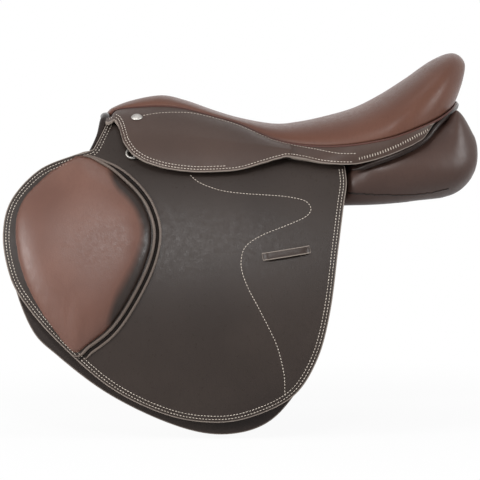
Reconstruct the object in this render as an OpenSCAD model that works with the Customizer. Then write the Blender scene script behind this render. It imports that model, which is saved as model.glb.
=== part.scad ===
// Jumping saddle: a close-contact English saddle with forward-cut flaps.
// Millimetres. X runs from the pommel (-X) to the cantle (+X), the near side faces -Y, Z is up.
// The origin lies on the mid-plane under the deepest part of the seat, at the level where the panels bear.

/* [Seat] */
// Length of the seat, from the pommel's lip to the back of the cantle
seat_l = 480; // [450:1:510]
// Width of the seat where it is widest, near the cantle
seat_w = 250; // [225:1:275]
// Height of the deepest point of the seat above the bearing level of the panels
seat_h = 101; // [97:1:112]
// Height of the pommel above the deepest point
pommel_rise = 38; // [32:1:46]
// Height of the cantle above the deepest point
cantle_rise = 93; // [84:1:104]
// Depth of the seat's side below its crown, at the cantle
seat_side = 86; // [80:1:92]
// Thickness of the seat leather
cover_t = 2; // [1.5:0.1:2.6]
// Thickness of the seat foam at the middle of the seat
foam_t = 15; // [12:0.5:17]
// Thickness of the webbing, under the seat and on the girth straps
web_t = 1.5; // [1:0.1:2]
// Thickness of the piping between the seat and the skirt
welt_d = 3.8; // [3:0.1:4.6]
// Diameter of the head of a saddle nail
nail_d = 15; // [11:0.5:17]

/* [Tree] */
// Thickness of the moulded tree
tree_t = 7; // [5:0.5:8]
// How far the tree's shoulder reaches outside the seat's edge
shoulder_w = 26; // [20:1:30]
// How far the tree's shoulder lies below the seat's edge
shoulder_drop = 30; // [27:1:34]
// Length of the steel head plate along the saddle
head_l = 50; // [40:1:56]
// Height of the lower end of the tree points above the bearing level
point_h = 16; // [10:1:24]

/* [Side curve] */
// Radius of the barrel that the sweat flaps wrap
barrel_r = 640; // [560:5:720]
// Distance from the mid-plane to the outside of a flap at its lower edge
flap_spread = 200; // [190:1:215]

/* [Flaps] */
// Length of a flap, front edge to rear edge
flap_w = 440; // [420:1:460]
// Distance from the bearing level down to the lower edge of a flap
flap_drop = 275; // [255:1:295]
// Thickness of a flap
flap_t = 4.5; // [3.5:0.1:5.5]
// Thickness of a sweat flap
sweat_t = 4; // [3:0.1:5]
// How far a sweat flap shows below its flap
sweat_show = 10; // [6:1:14]
// Swell of the knee pad above its flap
knee_swell = 20; // [14:1:26]
// Length of the surcingle keeper
keeper_l = 63; // [50:1:75]
// Width of the surcingle keeper
keeper_w = 10; // [8:0.5:13]

/* [Skirts] */
// Thickness of a skirt
skirt_t = 3.5; // [2.8:0.1:4.2]
// Radius of a skirt's bulge over the stirrup bar
skirt_r = 120; // [105:1:150]

/* [Girth straps] */
// Width of a girth strap
billet_w = 25; // [22:1:28]
// Thickness of a girth strap
billet_t = 4; // [3.2:0.1:4.8]
// Distance between the middles of two girth straps
billet_pitch = 50; // [46:1:54]
// Radius of a buckle hole
billet_hole_r = 2.5; // [2:0.1:3]
// Distance between two buckle holes
billet_hole_pitch = 25; // [20:1:30]
// Number of buckle holes in a girth strap
billet_holes = 8; // [5:1:9]

/* [Stirrup bars] */
// Length of a stirrup bar's blade
bar_l = 74; // [68:1:80]
// Height of a stirrup bar's blade
bar_h = 16; // [13:1:19]
// Thickness of a stirrup bar's blade
bar_t = 5; // [4:0.2:6]
// Gap behind the blade, for the stirrup leather
bar_gap = 6.6; // [6.2:0.1:7.4]
// Height of the stirrup bar above the bearing level
bar_z = 64; // [62:1:66]
// Radius of the safety catch's pin
catch_pin_r = 1.6; // [1.2:0.1:2]

/* [Dee rings] */
// Thickness of a dee's wire
dee_wire = 3.2; // [2.6:0.1:3.8]
// Width of a dee, between the middles of its corners
dee_w = 14; // [12:0.5:16]
// Distance from the front end of the stirrup bar forward to the middle of a dee
dee_ahead = 27.4; // [24:0.2:32]

/* [Panels] */
// Length of a panel
panel_l = 492; // [480:1:510]
// Distance from the mid-plane to the outer lower edge of a panel
panel_w = 112; // [104:1:116]
// Height of a panel's rear end
panel_h = 122; // [116:1:126]
// Length of a panel's section along its face
panel_face = 110; // [100:1:116]
// Thickness of a panel at the rear gusset
panel_swell = 76; // [66:1:80]
// Half the width of the gullet channel at the lining
gullet_half_w = 34; // [30:1:38]

/* [Hidden] */
$fn = 64;

// Clearances and overruns
skin_gap = 0.3;
slip_gap = 0.8;
fold_gap = 0.8;
pin_gap = 0.05;
over = 1;
side_fn = 360;

// Radii of the layers of a side, from the horse outwards
sweat_r0 = barrel_r + skin_gap;
sweat_r1 = sweat_r0 + sweat_t;
web_r0 = sweat_r1 + skin_gap;
web_r1 = web_r0 + web_t;
billet_r0 = web_r1 + slip_gap;
billet_r1 = billet_r0 + billet_t;
flap_r0 = billet_r1 + slip_gap;
flap_r1 = flap_r0 + flap_t;
plate_r1 = flap_r0 - 2 * skin_gap;
blade_r0 = flap_r1 + bar_gap;
blade_r1 = blade_r0 + bar_t;

// Centre of the barrel curve of the near side
side_plumb = 12;
side_y0 = flap_r1 - flap_spread;
side_z0 = -flap_drop - side_plumb;

// Y of the near side's layer of radius r at height z, and the slope of its outward normal there
function side_y(r, z) = side_y0 - sqrt(r * r - (z - side_z0) * (z - side_z0));
function side_tilt(r, z) = asin((z - side_z0) / r);

// Curves through points, all by the same cubic
function cubic(a, b, c, d, t) =
    b + t * ((c - a) / 2 + t * ((a - 2.5 * b + 2 * c - d / 2) + t * ((d - a) / 2 + 1.5 * (b - c))));
function at(table, t) =
    let (n = len(table) - 1, i = min(floor(t), n - 1))
    cubic(table[max(i - 1, 0)], table[i], table[i + 1], table[min(i + 2, n)], t - i);
function along(table, steps) =
    [for (k = [0 : (len(table) - 1) * steps]) at(table, k / steps)];
function around(table, steps) =
    let (n = len(table))
    [for (k = [0 : n * steps - 1])
        let (i = floor(k / steps), t = k / steps - i)
        cubic(table[(i + n - 1) % n], table[i], table[(i + 1) % n], table[(i + 2) % n], t)];
function mix(a, b, t) = a + (b - a) * t;
function unit(v) = v / norm(v);

// A closed body between two grids of points, top[i][j] and bottom[i][j],
// without the cells that cut(i, j) leaves out
module slab(top, bottom, cut = function (i, j) false) {
    m = len(top);
    n = len(top[0]);
    live = function (i, j) i >= 0 && j >= 0 && i < m - 1 && j < n - 1 && !cut(i, j);
    a = function (i, j) i * n + j;
    b = function (i, j) m * n + i * n + j;
    faces = [
        for (i = [0 : m - 2]) for (j = [0 : n - 2]) if (live(i, j)) each [
            [a(i, j), a(i, j + 1), a(i + 1, j + 1)], [a(i, j), a(i + 1, j + 1), a(i + 1, j)],
            [b(i, j), b(i + 1, j + 1), b(i, j + 1)], [b(i, j), b(i + 1, j), b(i + 1, j + 1)],
            if (!live(i - 1, j)) each [[a(i, j + 1), a(i, j), b(i, j)], [a(i, j + 1), b(i, j), b(i, j + 1)]],
            if (!live(i + 1, j)) each [
                [a(i + 1, j), a(i + 1, j + 1), b(i + 1, j + 1)], [a(i + 1, j), b(i + 1, j + 1), b(i + 1, j)]],
            if (!live(i, j - 1)) each [[a(i, j), a(i + 1, j), b(i + 1, j)], [a(i, j), b(i + 1, j), b(i, j)]],
            if (!live(i, j + 1)) each [
                [a(i + 1, j + 1), a(i, j + 1), b(i, j + 1)], [a(i + 1, j + 1), b(i, j + 1), b(i + 1, j + 1)]]
        ]
    ];
    polyhedron(concat([for (row = top) each row], [for (row = bottom) each row]), faces, convexity = 6);
}

// A closed body through rings of points, with a point at the middle of each end
module skin(rings) {
    m = len(rings);
    n = len(rings[0]);
    middle = function (ring) [for (q = [0 : 2]) [for (p = ring) p[q]] * [for (p = ring) 1] / n];
    p = function (i, j) i * n + j % n;
    faces = [
        for (i = [0 : m - 2]) for (j = [0 : n - 1]) each [
            [p(i, j), p(i + 1, j), p(i + 1, j + 1)], [p(i, j), p(i + 1, j + 1), p(i, j + 1)]],
        for (j = [0 : n - 1]) [m * n, p(0, j), p(0, j + 1)],
        for (j = [0 : n - 1]) [m * n + 1, p(m - 1, j + 1), p(m - 1, j)]
    ];
    points = concat([for (ring = rings) each ring], [middle(rings[0]), middle(rings[m - 1])]);
    polyhedron(points, faces, convexity = 6);
}

// A round cord along a path of points, with its sections kept upright
module cord(path, d, sides = 8) {
    n = len(path);
    rings = [for (i = [0 : n - 1])
        let (t = unit(path[min(i + 1, n - 1)] - path[max(i - 1, 0)]),
             s = unit(cross(t, [0, 0, 1])),
             u = cross(s, t))
        [for (k = [0 : sides - 1]) path[i] + (s * cos(k * 360 / sides) + u * sin(k * 360 / sides)) * d / 2]];
    skin(rings);
}

// The near side's layer between two radii, and the part of it inside an outline drawn in side view
side_x0 = -flap_w;
module side_layer(r0, r1) {
    translate([side_x0, side_y0, side_z0]) rotate([0, 90, 0]) difference() {
        cylinder(r = r1, h = 2 * flap_w, $fn = side_fn);
        translate([0, 0, -over]) cylinder(r = r0, h = 2 * flap_w + 2 * over, $fn = side_fn);
    }
}
module side_sheet(r0, r1, outline) {
    intersection() {
        side_layer(r0, r1);
        rotate([90, 0, 0]) linear_extrude(height = flap_spread + bar_l) polygon(outline);
    }
}
// A frame on the near side at length x and height z:
// its X is along the saddle, its Y points inwards, its Z up the side
module on_side(x, z, r) {
    translate([x, side_y(r, z), z]) rotate([-side_tilt(r, z), 0, 0]) children();
}
module other_side() {
    mirror([0, 1, 0]) children();
}

// Seat: crown line in side view, and edge line, station by station from the pommel to the cantle
crown_x_shares = [0.008, 0.025, 0.083, 0.163, 0.229, 0.313, 0.385, 0.475, 0.542, 0.617, 0.696, 0.767, 0.838,
    0.91, 0.967, 1, 0.998, 0.981];
crown_rise_shares = [0.29, 0.55, 0.83, 1, 0.83, 0.46, 0.2, 0.01, 0.032, 0.113, 0.22, 0.376, 0.602,
    0.866, 1, 0.892, 0.667, 0.398];
edge_x_shares = [0.029, 0.044, 0.1, 0.165, 0.227, 0.31, 0.381, 0.463, 0.529, 0.596, 0.663, 0.727, 0.794,
    0.863, 0.913, 0.948, 0.967, 0.975];
edge_y_shares = [0.24, 0.304, 0.344, 0.368, 0.392, 0.432, 0.48, 0.592, 0.704, 0.816, 0.912, 0.976, 1,
    0.928, 0.784, 0.56, 0.304, 0.08];
edge_drop_shares = [0, 0.012, 0.1, 0.163, 0.122, 0.076, 0.076, 0.203, 0.326, 0.448, 0.552, 0.674, 0.837,
    0.983, 1, 0.762, 0.43, 0.093];
last = len(crown_x_shares) - 1;
low_station = 7;
seat_x0 = -seat_l / 2;
crown = [for (i = [0 : last])
    [seat_x0 + seat_l * crown_x_shares[i], 0,
     seat_h + (i <= low_station ? pommel_rise : cantle_rise) * crown_rise_shares[i]]];
edge = [for (i = [0 : last])
    [seat_x0 + seat_l * edge_x_shares[i], -seat_w / 2 * edge_y_shares[i],
     crown[i].z - seat_side * edge_drop_shares[i]]];
function slope(table, t) = unit(at(table, min(t + 0.05, last)) - at(table, max(t - 0.05, 0)));
// The crown and the edge moved into the seat by d
function crown_in(t, d) = let (s = slope(crown, t)) at(crown, t) + [s.z, 0, -s.x] * d;
function edge_in(t, d) = let (s = slope(edge, t), h = norm([s.x, s.y])) at(edge, t) + [-s.y, s.x, 0] * d / h;
// A point of an arch from one edge to the other over the crown
arch_round_share = 0.9;
function arch(e, c, a) =
    let (w = sign(cos(a)) * pow(abs(cos(a)), arch_round_share), h = pow(abs(sin(a)), arch_round_share))
    [mix(e.x, c.x, h), e.y * w, mix(e.z, c.z, h)];
function seat_point(t, a, d) = arch(edge_in(t, d), crown_in(t, d), a);
seat_steps = 2;
across = 16;
function seat_grid(d, t0 = 0, t1 = last) =
    [for (k = [0 : (t1 - t0) * seat_steps])
        [for (j = [0 : across]) seat_point(t0 + k / seat_steps, j * 180 / across, d)]];

module seat_cover() {
    color("#5c3a30") slab(seat_grid(0), seat_grid(cover_t));
}

// Tree: an arch under the foam, with shoulders outside the seat's edge at the front
// How free of the flap a point at length x is: 0 in front of the flap's rear edge, rising to 1 behind it
free_share = 0.1;
function free(x) = max(0, min(1, (x - flap_x1) / (panel_l * free_share)));
tree_t0 = 1;
tree_t1 = 15;
tree_depth = cover_t + foam_t + web_t + 5 * skin_gap;
shoulder_shares = [0.9, 0.9, 0.9, 0.9, 0.9, 0.85, 0.75, 0.35, -0.05, -0.3, -0.4, -0.4, -0.3,
    -0.25, -0.25, -0.25, -0.25, -0.25];
shoulder_drop_shares = [1, 1, 1, 1, 1, 1, 0.98, 0.88, 0.78, 0.74, 0.74, 0.68, 0.55,
    0.42, 0.35, 0.3, 0.3, 0.3];
function shoulder(t) =
    let (e = edge_in(t, -shoulder_w * at(shoulder_shares, t)),
         z = e.z - shoulder_drop * at(shoulder_drop_shares, t))
    [e.x, max(e.y, side_y(plate_r1 - skin_gap + free(e.x) * panel_w, z)), z];
tree_round_share = 0.8;
function tree_point(t, a, d) =
    let (s = shoulder(t), e = s + [0, d * tree_round_share, -d / 2], c = crown_in(t, tree_depth + d))
    [mix(e.x, c.x, sin(a)), e.y * cos(a), mix(e.z, c.z, sin(a))];
function tree_grid(d, t0, t1, a0 = 0, a1 = 180, steps = across) =
    [for (k = [0 : round((t1 - t0) * seat_steps)])
        [for (j = [0 : steps]) tree_point(t0 + k / seat_steps, mix(a0, a1, j / steps), d)]];
// The opening of the tree, which the webbing spans
hole_t0 = 4;
hole_t1 = 12;
hole_cells = 4;
module tree() {
    color("#20201f") slab(tree_grid(0, tree_t0, tree_t1), tree_grid(tree_t, tree_t0, tree_t1),
        function (i, j) tree_t0 + i / seat_steps >= hole_t0 && tree_t0 + i / seat_steps < hole_t1
            && j >= hole_cells && j < across - hole_cells);
}

// Webbing: straps nailed across the tree's opening
strap_starts = [4.5, 6.5, 8.5, 10.5];
strap_arc_shares = [0.134, 0.866];
module seat_webbing() {
    arc = 180 * strap_arc_shares;
    for (t = strap_starts) color("#b9a98a")
        slab(tree_grid(-skin_gap - web_t, t, t + 1, arc[0], arc[1]),
             tree_grid(-skin_gap, t, t + 1, arc[0], arc[1]));
}

// Foam: from just under the seat leather down to the webbing
foam_t0 = 1.5;
foam_t1 = 14;
foam_rise = 5 * skin_gap + web_t;
function foam_bottom(t, p) =
    let (e = shoulder(t) + [0, -foam_rise * tree_round_share, foam_rise / 2],
         c = crown_in(t, tree_depth - foam_rise),
         w = max(-1, min(1, p.y / e.y)), h = sqrt(1 - w * w))
    [mix(e.x, c.x, h), e.y * w, mix(e.z, c.z, h)];
module seat_foam() {
    top = seat_grid(cover_t + skin_gap, foam_t0, foam_t1);
    bottom = [for (k = [0 : len(top) - 1])
        [for (p = top[k]) foam_bottom(foam_t0 + k / seat_steps, p)]];
    color("#d8cfae") slab(top, bottom);
}

// Skirt: a fixed strip under the seat's edge, and a lobe over the stirrup bar that lifts on a straight fold
skirt_need = blade_r1 + 2 * skin_gap;
bar_tilt = side_tilt(plate_r1, bar_z);
lobe_y0 = side_y0 - (skirt_need - skirt_r) * cos(bar_tilt);
lobe_z0 = side_z0 + (skirt_need - skirt_r) * sin(bar_tilt);
lobe_r1 = skirt_r + skirt_t;
function lobe_y(r, z) = lobe_y0 - sqrt(max(0, r * r - (z - lobe_z0) * (z - lobe_z0)));
// The fold's ends, as shares of the seat's length and height
fold_x_shares = [0.033, 0.52];
fold_z_shares = [1.02, 0.68];
fold_x = [for (s = fold_x_shares) seat_x0 + seat_l * s];
fold_z = [for (s = fold_z_shares) seat_h * s];
function fold_height(x) = mix(fold_z[0], fold_z[1], (x - fold_x[0]) / (fold_x[1] - fold_x[0]));
// The strip's lower edge behind the fold, as shares of the seat's length and height
hem_x_shares = [0.545, 0.6, 0.663, 0.706, 0.773, 0.842, 0.89, 0.925, 0.95, 0.975];
hem_z_shares = [0.575, 0.515, 0.492, 0.51, 0.6, 0.735, 0.87, 1.04, 1.13, 1.23];
hem = [for (i = [0 : len(hem_x_shares) - 1])
    [seat_x0 + seat_l * hem_x_shares[i], seat_h * hem_z_shares[i]]];
function hem_height(x) = x < fold_x[1] ? fold_height(x) : lookup(x, hem);
strip_t0 = 0.5;
strip_t1 = 13.8;
strip_cells = 3;
strip_bulge_share = 0.06;
welt_seat = welt_d / 2 + 2.5 * skin_gap;
function strip_ends(t) =
    let (e = edge_in(t, -skin_gap), z = hem_height(e.x), y = min(lobe_y(lobe_r1, z), e.y - skirt_t))
    [e + [0, -skirt_t, -welt_seat], [e.x, y, min(z, e.z - welt_d)]];
function strip_row(t, d) =
    let (p = strip_ends(t), v = p[1] - p[0], n = unit([0, v.z, -v.y]))
    [for (k = [0 : strip_cells])
        mix(p[0], p[1], k / strip_cells) + n * norm(v) * strip_bulge_share * sin(180 * k / strip_cells)
            - mix(n, [0, 1 / min(n.y, -0.5), 0], k / strip_cells) * d];
function strip_grid(d) =
    [for (k = [0 : (strip_t1 - strip_t0) * 2 * seat_steps]) strip_row(strip_t0 + k / seat_steps / 2, d)];
module left_skirt_top() {
    color("#45352e") slab(strip_grid(skirt_t), strip_grid(0));
}
module right_skirt_top() {
    other_side() left_skirt_top();
}

// Lobe: outline in side view below the fold, as shares of the seat's length and height, front to back
lobe_x_shares = [0.046, 0.07, 0.092, 0.125, 0.179, 0.249, 0.311, 0.38, 0.455, 0.492, 0.505];
lobe_z_shares = [1.0, 0.81, 0.65, 0.545, 0.458, 0.41, 0.41, 0.438, 0.535, 0.582, 0.6];
lobe_steps = 4;
lobe_line = along([for (i = [0 : len(lobe_x_shares) - 1])
    [seat_x0 + seat_l * lobe_x_shares[i], seat_h * lobe_z_shares[i]]], lobe_steps);
module left_skirt() {
    front = lobe_line[0];
    rear = lobe_line[len(lobe_line) - 1];
    outline = concat(lobe_line,
        [[rear.x, fold_height(rear.x) - fold_gap], [front.x, fold_height(front.x) - fold_gap]]);
    color("#45352e") intersection() {
        translate([side_x0, lobe_y0, lobe_z0]) rotate([0, 90, 0]) difference() {
            cylinder(r = lobe_r1, h = 2 * flap_w, $fn = side_fn);
            translate([0, 0, -over]) cylinder(r = skirt_r, h = 2 * flap_w + 2 * over, $fn = side_fn);
        }
        rotate([90, 0, 0]) linear_extrude(height = flap_spread + bar_l) polygon(outline);
    }
}
module right_skirt() {
    other_side() left_skirt();
}

// Piping round the seat's edge
welt_t0 = 1;
welt_t1 = 14;
module left_seat_welt() {
    path = [for (k = [0 : (welt_t1 - welt_t0) * 2 * seat_steps])
        edge_in(welt_t0 + k / seat_steps / 2, -welt_d / 2 - skin_gap)];
    color("#4a3129") cord(path, welt_d, 6);
}
module right_seat_welt() {
    other_side() left_seat_welt();
}

// Nails that hold the head of each skirt
nail_t = 2;
nail_at_share = 0.6;
nail_h = nail_d / 4;
module left_nail() {
    p = strip_ends(nail_t);
    v = p[1] - p[0];
    n = unit([0, v.z, -v.y]);
    lift = norm(v) * strip_bulge_share + skin_gap;
    translate(mix(p[0], p[1], nail_at_share) + n * lift) rotate([atan2(-n.y, n.z), 0, 0]) intersection() {
        dome_r = (nail_d * nail_d / 4 + nail_h * nail_h) / (2 * nail_h);
        translate([0, 0, nail_h - dome_r]) sphere(r = dome_r);
        cylinder(d = nail_d, h = nail_h);
    }
}
module saddle_nails() {
    color("#b5b2ac") {
        left_nail();
        other_side() left_nail();
    }
}

// Piping under the back of the seat, from one skirt round the cantle to the other
cantle_welt_d = 1.8 * welt_d;
cantle_t0 = 10.5;
module cantle_welt() {
    near = [for (k = [0 : (last - cantle_t0) * 2 * seat_steps])
        let (t = cantle_t0 + k / seat_steps / 2, e = edge_in(t, -skirt_t / 2),
             z = min(hem_height(e.x), e.z - welt_d) - cantle_welt_d / 2 - 4 * skin_gap)
        [e.x, e.y, z]];
    far = [for (k = [len(near) - 1 : -1 : 0]) [near[k].x, -near[k].y, near[k].z]];
    color("#3c2c26") cord(concat(near, far), cantle_welt_d);
}

// Flap outlines in side view: shares of the flap's length measured from the rear, and of its drop
flap_x1_share = 0.182;
flap_x1 = flap_w * flap_x1_share;
function flap_point(s, h) = [flap_x1 - flap_w * s, h];
// The straight line on which a flap folds up
flap_fold_x_shares = [0.786, 0];
flap_fold_z_shares = [0.228, 0.029];
flap_fold = [for (i = [0, 1]) flap_point(flap_fold_x_shares[i], flap_drop * flap_fold_z_shares[i])];
function flap_fold_height(x) =
    mix(flap_fold[0].y, flap_fold[1].y, (x - flap_fold[0].x) / (flap_fold[1].x - flap_fold[0].x));
flap_x_shares = [0.775, 0.8, 0.895, 0.975, 1, 0.982, 0.941, 0.845, 0.689, 0.525, 0.382, 0.266,
    0.155, 0.089, 0.052, 0.027, 0.009, 0];
flap_z_shares = [0.245, 0.222, 0.149, 0.011, -0.142, -0.316, -0.44, -0.618, -0.836, -0.964, -1, -0.967,
    -0.873, -0.709, -0.495, -0.211, -0.005, 0.1];
flap_steps = 4;
flap_line = along([for (i = [0 : len(flap_x_shares) - 1])
    flap_point(flap_x_shares[i], flap_drop * flap_z_shares[i])], flap_steps);
// Everything below the fold, as a prism across the saddle
module below_fold() {
    front = flap_fold_height(-flap_w) - fold_gap / 2;
    rear = flap_fold_height(flap_w) - fold_gap / 2;
    rotate([90, 0, 0]) linear_extrude(height = 2 * flap_spread)
        polygon([[-flap_w, front], [-flap_w, -2 * flap_drop], [flap_w, -2 * flap_drop], [flap_w, rear]]);
}
module left_flap() {
    color("#3f322c") intersection() {
        side_sheet(flap_r0, flap_r1, flap_line);
        below_fold();
    }
}
module right_flap() {
    other_side() left_flap();
}

// Flap head: the part above the fold that is nailed to the tree
head_x_shares = [0.687, 0.523, 0.3, 0.136, 0.004, 0];
head_z_shares = [0.355, 0.305, 0.24, 0.2, 0.175, 0.09];
head_corner_shares = [0.777, 0.232];
module left_flap_head() {
    corner = flap_point(head_corner_shares[0], flap_drop * head_corner_shares[1]);
    front = [for (i = [2 : -1 : 0]) facing_point(i) + [2 * skin_gap, 0]];
    top = [for (i = [0 : len(head_x_shares) - 1]) flap_point(head_x_shares[i], flap_drop * head_z_shares[i])];
    line = concat([corner], front, top);
    foot = [for (s = [0.009, 0.765])
        let (x = flap_point(s, 0).x) [x, flap_fold_height(x) + fold_gap / 2]];
    color("#3f322c") difference() {
        side_sheet(flap_r0, flap_r1, concat(line, foot));
        on_side(bar_x, bar_z, plate_r1) translate([-bar_l / 2 - slip_gap, -flap_t * 2, -plate_below - slip_gap])
            cube([bar_l + 2 * slip_gap, 4 * flap_t, plate_below + bar_l]);
    }
}
module right_flap_head() {
    other_side() left_flap_head();
}

// Knee pad: a padded form sewn on the front of the flap
knee_x_shares = [0.772, 0.705, 0.657, 0.616, 0.584, 0.566, 0.582, 0.63, 0.686, 0.75, 0.791, 0.861,
    0.918, 0.955, 0.968, 0.955, 0.911, 0.841];
knee_z_shares = [0.218, 0.171, 0.109, 0.047, -0.029, -0.138, -0.273, -0.433, -0.564, -0.647, -0.684, -0.556,
    -0.415, -0.265, -0.12, -0.007, 0.084, 0.171];
knee_mid_x_share = 0.775;
knee_mid_z_share = -0.18;
knee_base_shares = [0.02, 0.17, 0.32, 0.47, 0.62, 0.78, 0.9, 1];
knee_top_shares = [1, 0.965, 0.88, 0.74, 0.52, 0.26];
knee_edge_share = 0.15;
module left_knee_pad() {
    line = around([for (i = [0 : len(knee_x_shares) - 1])
        flap_point(knee_x_shares[i], flap_drop * knee_z_shares[i])], 2);
    mid = flap_point(knee_mid_x_share, flap_drop * knee_mid_z_share);
    ring = function (s, h)
        [for (p = line) let (q = mix(mid, p, s)) [q.x, side_y(flap_r1 + skin_gap + h, q.y), q.y]];
    rise = function (s) knee_swell * (knee_edge_share + (1 - knee_edge_share) * pow(1 - pow(s, 3.2), 0.7));
    base = [for (s = knee_base_shares) ring(s, 0)];
    top = [for (s = knee_top_shares) ring(s, rise(s))];
    color("#6b4437") skin(concat(base, top));
}
module right_knee_pad() {
    other_side() left_knee_pad();
}

// Surcingle keeper: a strap loop low on the flap
keeper_x_share = 0.178;
keeper_z_share = -0.226;
keeper_slant = 9;
keeper_t = skirt_t / 2;
keeper_lift = 2 * keeper_t;
keeper_tab = keeper_w / 2;
function keeper_box(l, w) =
    let (c = flap_point(keeper_x_share, flap_drop * keeper_z_share),
         u = [cos(keeper_slant), sin(keeper_slant)] * l / 2,
         v = [-sin(keeper_slant), cos(keeper_slant)] * w / 2)
    [c - u - v, c + u - v, c + u + v, c - u + v];
module left_keeper() {
    r0 = flap_r1 + skin_gap;
    color("#37291f") difference() {
        side_sheet(r0, r0 + keeper_lift + keeper_t, keeper_box(keeper_l, keeper_w));
        side_sheet(r0 - over, r0 + keeper_lift, keeper_box(keeper_l - 2 * keeper_tab, keeper_w + 2 * over));
    }
}
module right_keeper() {
    other_side() left_keeper();
}

// Sweat flap: the under flap, sewn to the panel
sweat_x_shares = [0.723, 0.777, 0.875, 0.95, 0.973, 0.97, 0.914, 0.839, 0.707, 0.561, 0.427, 0.318,
    0.227, 0.155, 0.095, 0.064, 0.041, 0.023, 0.018, 0.091, 0.273, 0.455, 0.591, 0.67];
sweat_z_shares = [0.29, 0.204, 0.126, 0, -0.158, -0.333, -0.547, -0.66, -0.811, -0.926, -0.993, -0.996,
    -0.944, -0.828, -0.667, -0.456, -0.211, 0, 0.098, 0.116, 0.126, 0.161, 0.218, 0.274];
module left_sweat_flap() {
    line = around([for (i = [0 : len(sweat_x_shares) - 1])
        flap_point(sweat_x_shares[i], (flap_drop + sweat_show) * sweat_z_shares[i])], 3);
    color("#3a2d26") side_sheet(sweat_r0, sweat_r1, line);
}
module right_sweat_flap() {
    other_side() left_sweat_flap();
}

// Lower edge of the tree's shoulder, along the saddle
tree_hem = [for (k = [0 : 4 * (low_station + 4)])
    let (s = shoulder(tree_t0 + k / 4))
    [s.x, s.z - tree_t / 2 - 2 * skin_gap]];
function under_tree(x) = lookup(x, tree_hem);

// Head plate: the steel arch of the pommel, with the tree points and an arm for each stirrup bar
bar_x_share = -0.27;
bar_x = seat_l * bar_x_share;
plate_below = bar_h * 0.65;
plate_above = bar_h * 1.05;
plate_t = bar_t * 0.6;
head_x0_share = -0.46;
head_x0 = seat_l * head_x0_share;
arm_x1 = bar_x + bar_l / 2 + 2 * slip_gap;
arm_z0 = bar_z - plate_below;
arm_steps = 6;
crown_x_share = 0.3;
crown_y_share = 0.2;
crown_gap = 8 * skin_gap;
module head_rivet_holes(r, h) {
    for (t = rivet_at_shares) on_side(head_x0 + head_l / 2, mix(point_h, arm_z0, t), plate_r1)
        rotate([-90, 0, 0]) translate([0, 0, (plate_r1 - web_r0 - h) / 2]) cylinder(r = r, h = h);
}
module left_point() {
    top = [for (k = [0 : arm_steps]) let (x = mix(arm_x1, head_x0, k / arm_steps)) [x, under_tree(x)]];
    foot = [[head_x0, point_h], [head_x0 + head_l, point_h], [head_x0 + head_l, arm_z0], [arm_x1, arm_z0]];
    difference() {
        side_sheet(web_r0, plate_r1, concat(top, foot));
        head_rivet_holes(rivet_r + pin_gap, plate_r1 - web_r0 + 2 * over);
    }
}
module head_plate() {
    x1 = head_x0 + head_l * 0.7;
    z = min(under_tree(head_x0), under_tree(x1));
    rise = crown_in(1, tree_depth + tree_t).z - crown_gap;
    half = seat_w / 2 * crown_y_share;
    y = (side_y(web_r0, z) + side_y(plate_r1, z)) / 2;
    t = plate_r1 - web_r0;
    color("#8d9196") union() {
        left_point();
        other_side() left_point();
        translate([head_x0 + head_l * 0.2, 0, 0]) rotate([90, 0, 90]) linear_extrude(height = x1 - head_x0)
            polygon([[y, z - crown_gap], [-half, rise], [half, rise], [-y, z - crown_gap], [-y, z - t],
                [half, rise - t], [-half, rise - t], [y, z - t]]);
    }
}

// Flush rivets through the points, and domed ones on the stirrup bars
rivet_r = plate_t * 1.1;
rivet_h = plate_t * 0.35;
rivet_at_shares = [0.25, 0.75];
module dome(r, h) {
    dome_r = (r * r + h * h) / (2 * h);
    intersection() {
        translate([0, 0, h - dome_r]) sphere(r = dome_r);
        cylinder(r = r, h = h);
    }
}
module head_rivets() {
    length = plate_r1 - web_r0 - skin_gap;
    color("#a8a59d") {
        head_rivet_holes(rivet_r, length);
        other_side() head_rivet_holes(rivet_r, length);
    }
}

// Stirrup bar: a plate on the head plate's arm, a post at its front and a blade for the stirrup leather
post_l = bar_h * 0.7;
knuckle_r = bar_h / 2;
knuckle_x = bar_l / 2 - knuckle_r;
blade_y = blade_r0 - plate_r1;
lap_t = (bar_t - skin_gap) / 2;
module left_stirrup_bar() {
    color("#9fa3a6") on_side(bar_x, bar_z, plate_r1) difference() {
        union() {
            translate([-bar_l / 2, -plate_t - skin_gap, -plate_below])
                cube([bar_l, plate_t, plate_below + plate_above]);
            translate([-bar_l / 2, -blade_y - bar_t, -bar_h / 2])
                cube([post_l, blade_y + bar_t - skin_gap, bar_h]);
            translate([-bar_l / 2, -blade_y - bar_t, -bar_h / 2])
                cube([knuckle_x + bar_l / 2 - knuckle_r - slip_gap, bar_t, bar_h]);
            translate([-bar_l / 2, -blade_y - bar_t, -bar_h / 2]) cube([knuckle_x + bar_l / 2, lap_t, bar_h]);
            translate([knuckle_x, -blade_y - bar_t, 0]) rotate([-90, 0, 0]) cylinder(r = knuckle_r, h = lap_t);
        }
        translate([knuckle_x, -blade_y - bar_t - over, 0]) rotate([-90, 0, 0])
            cylinder(r = catch_pin_r + pin_gap, h = bar_t + 2 * over);
    }
}
module right_stirrup_bar() {
    other_side() left_stirrup_bar();
}
module left_bar_rivets() {
    for (s = [-1, 1]) on_side(bar_x, bar_z, plate_r1)
        translate([s * bar_l * 0.36, -plate_t - skin_gap, (bar_h / 2 + plate_above) / 2 + skin_gap])
            rotate([90, 0, 0]) dome(rivet_r, rivet_h);
}
module bar_rivets() {
    color("#a8a59d") {
        left_bar_rivets();
        other_side() left_bar_rivets();
    }
}

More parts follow.
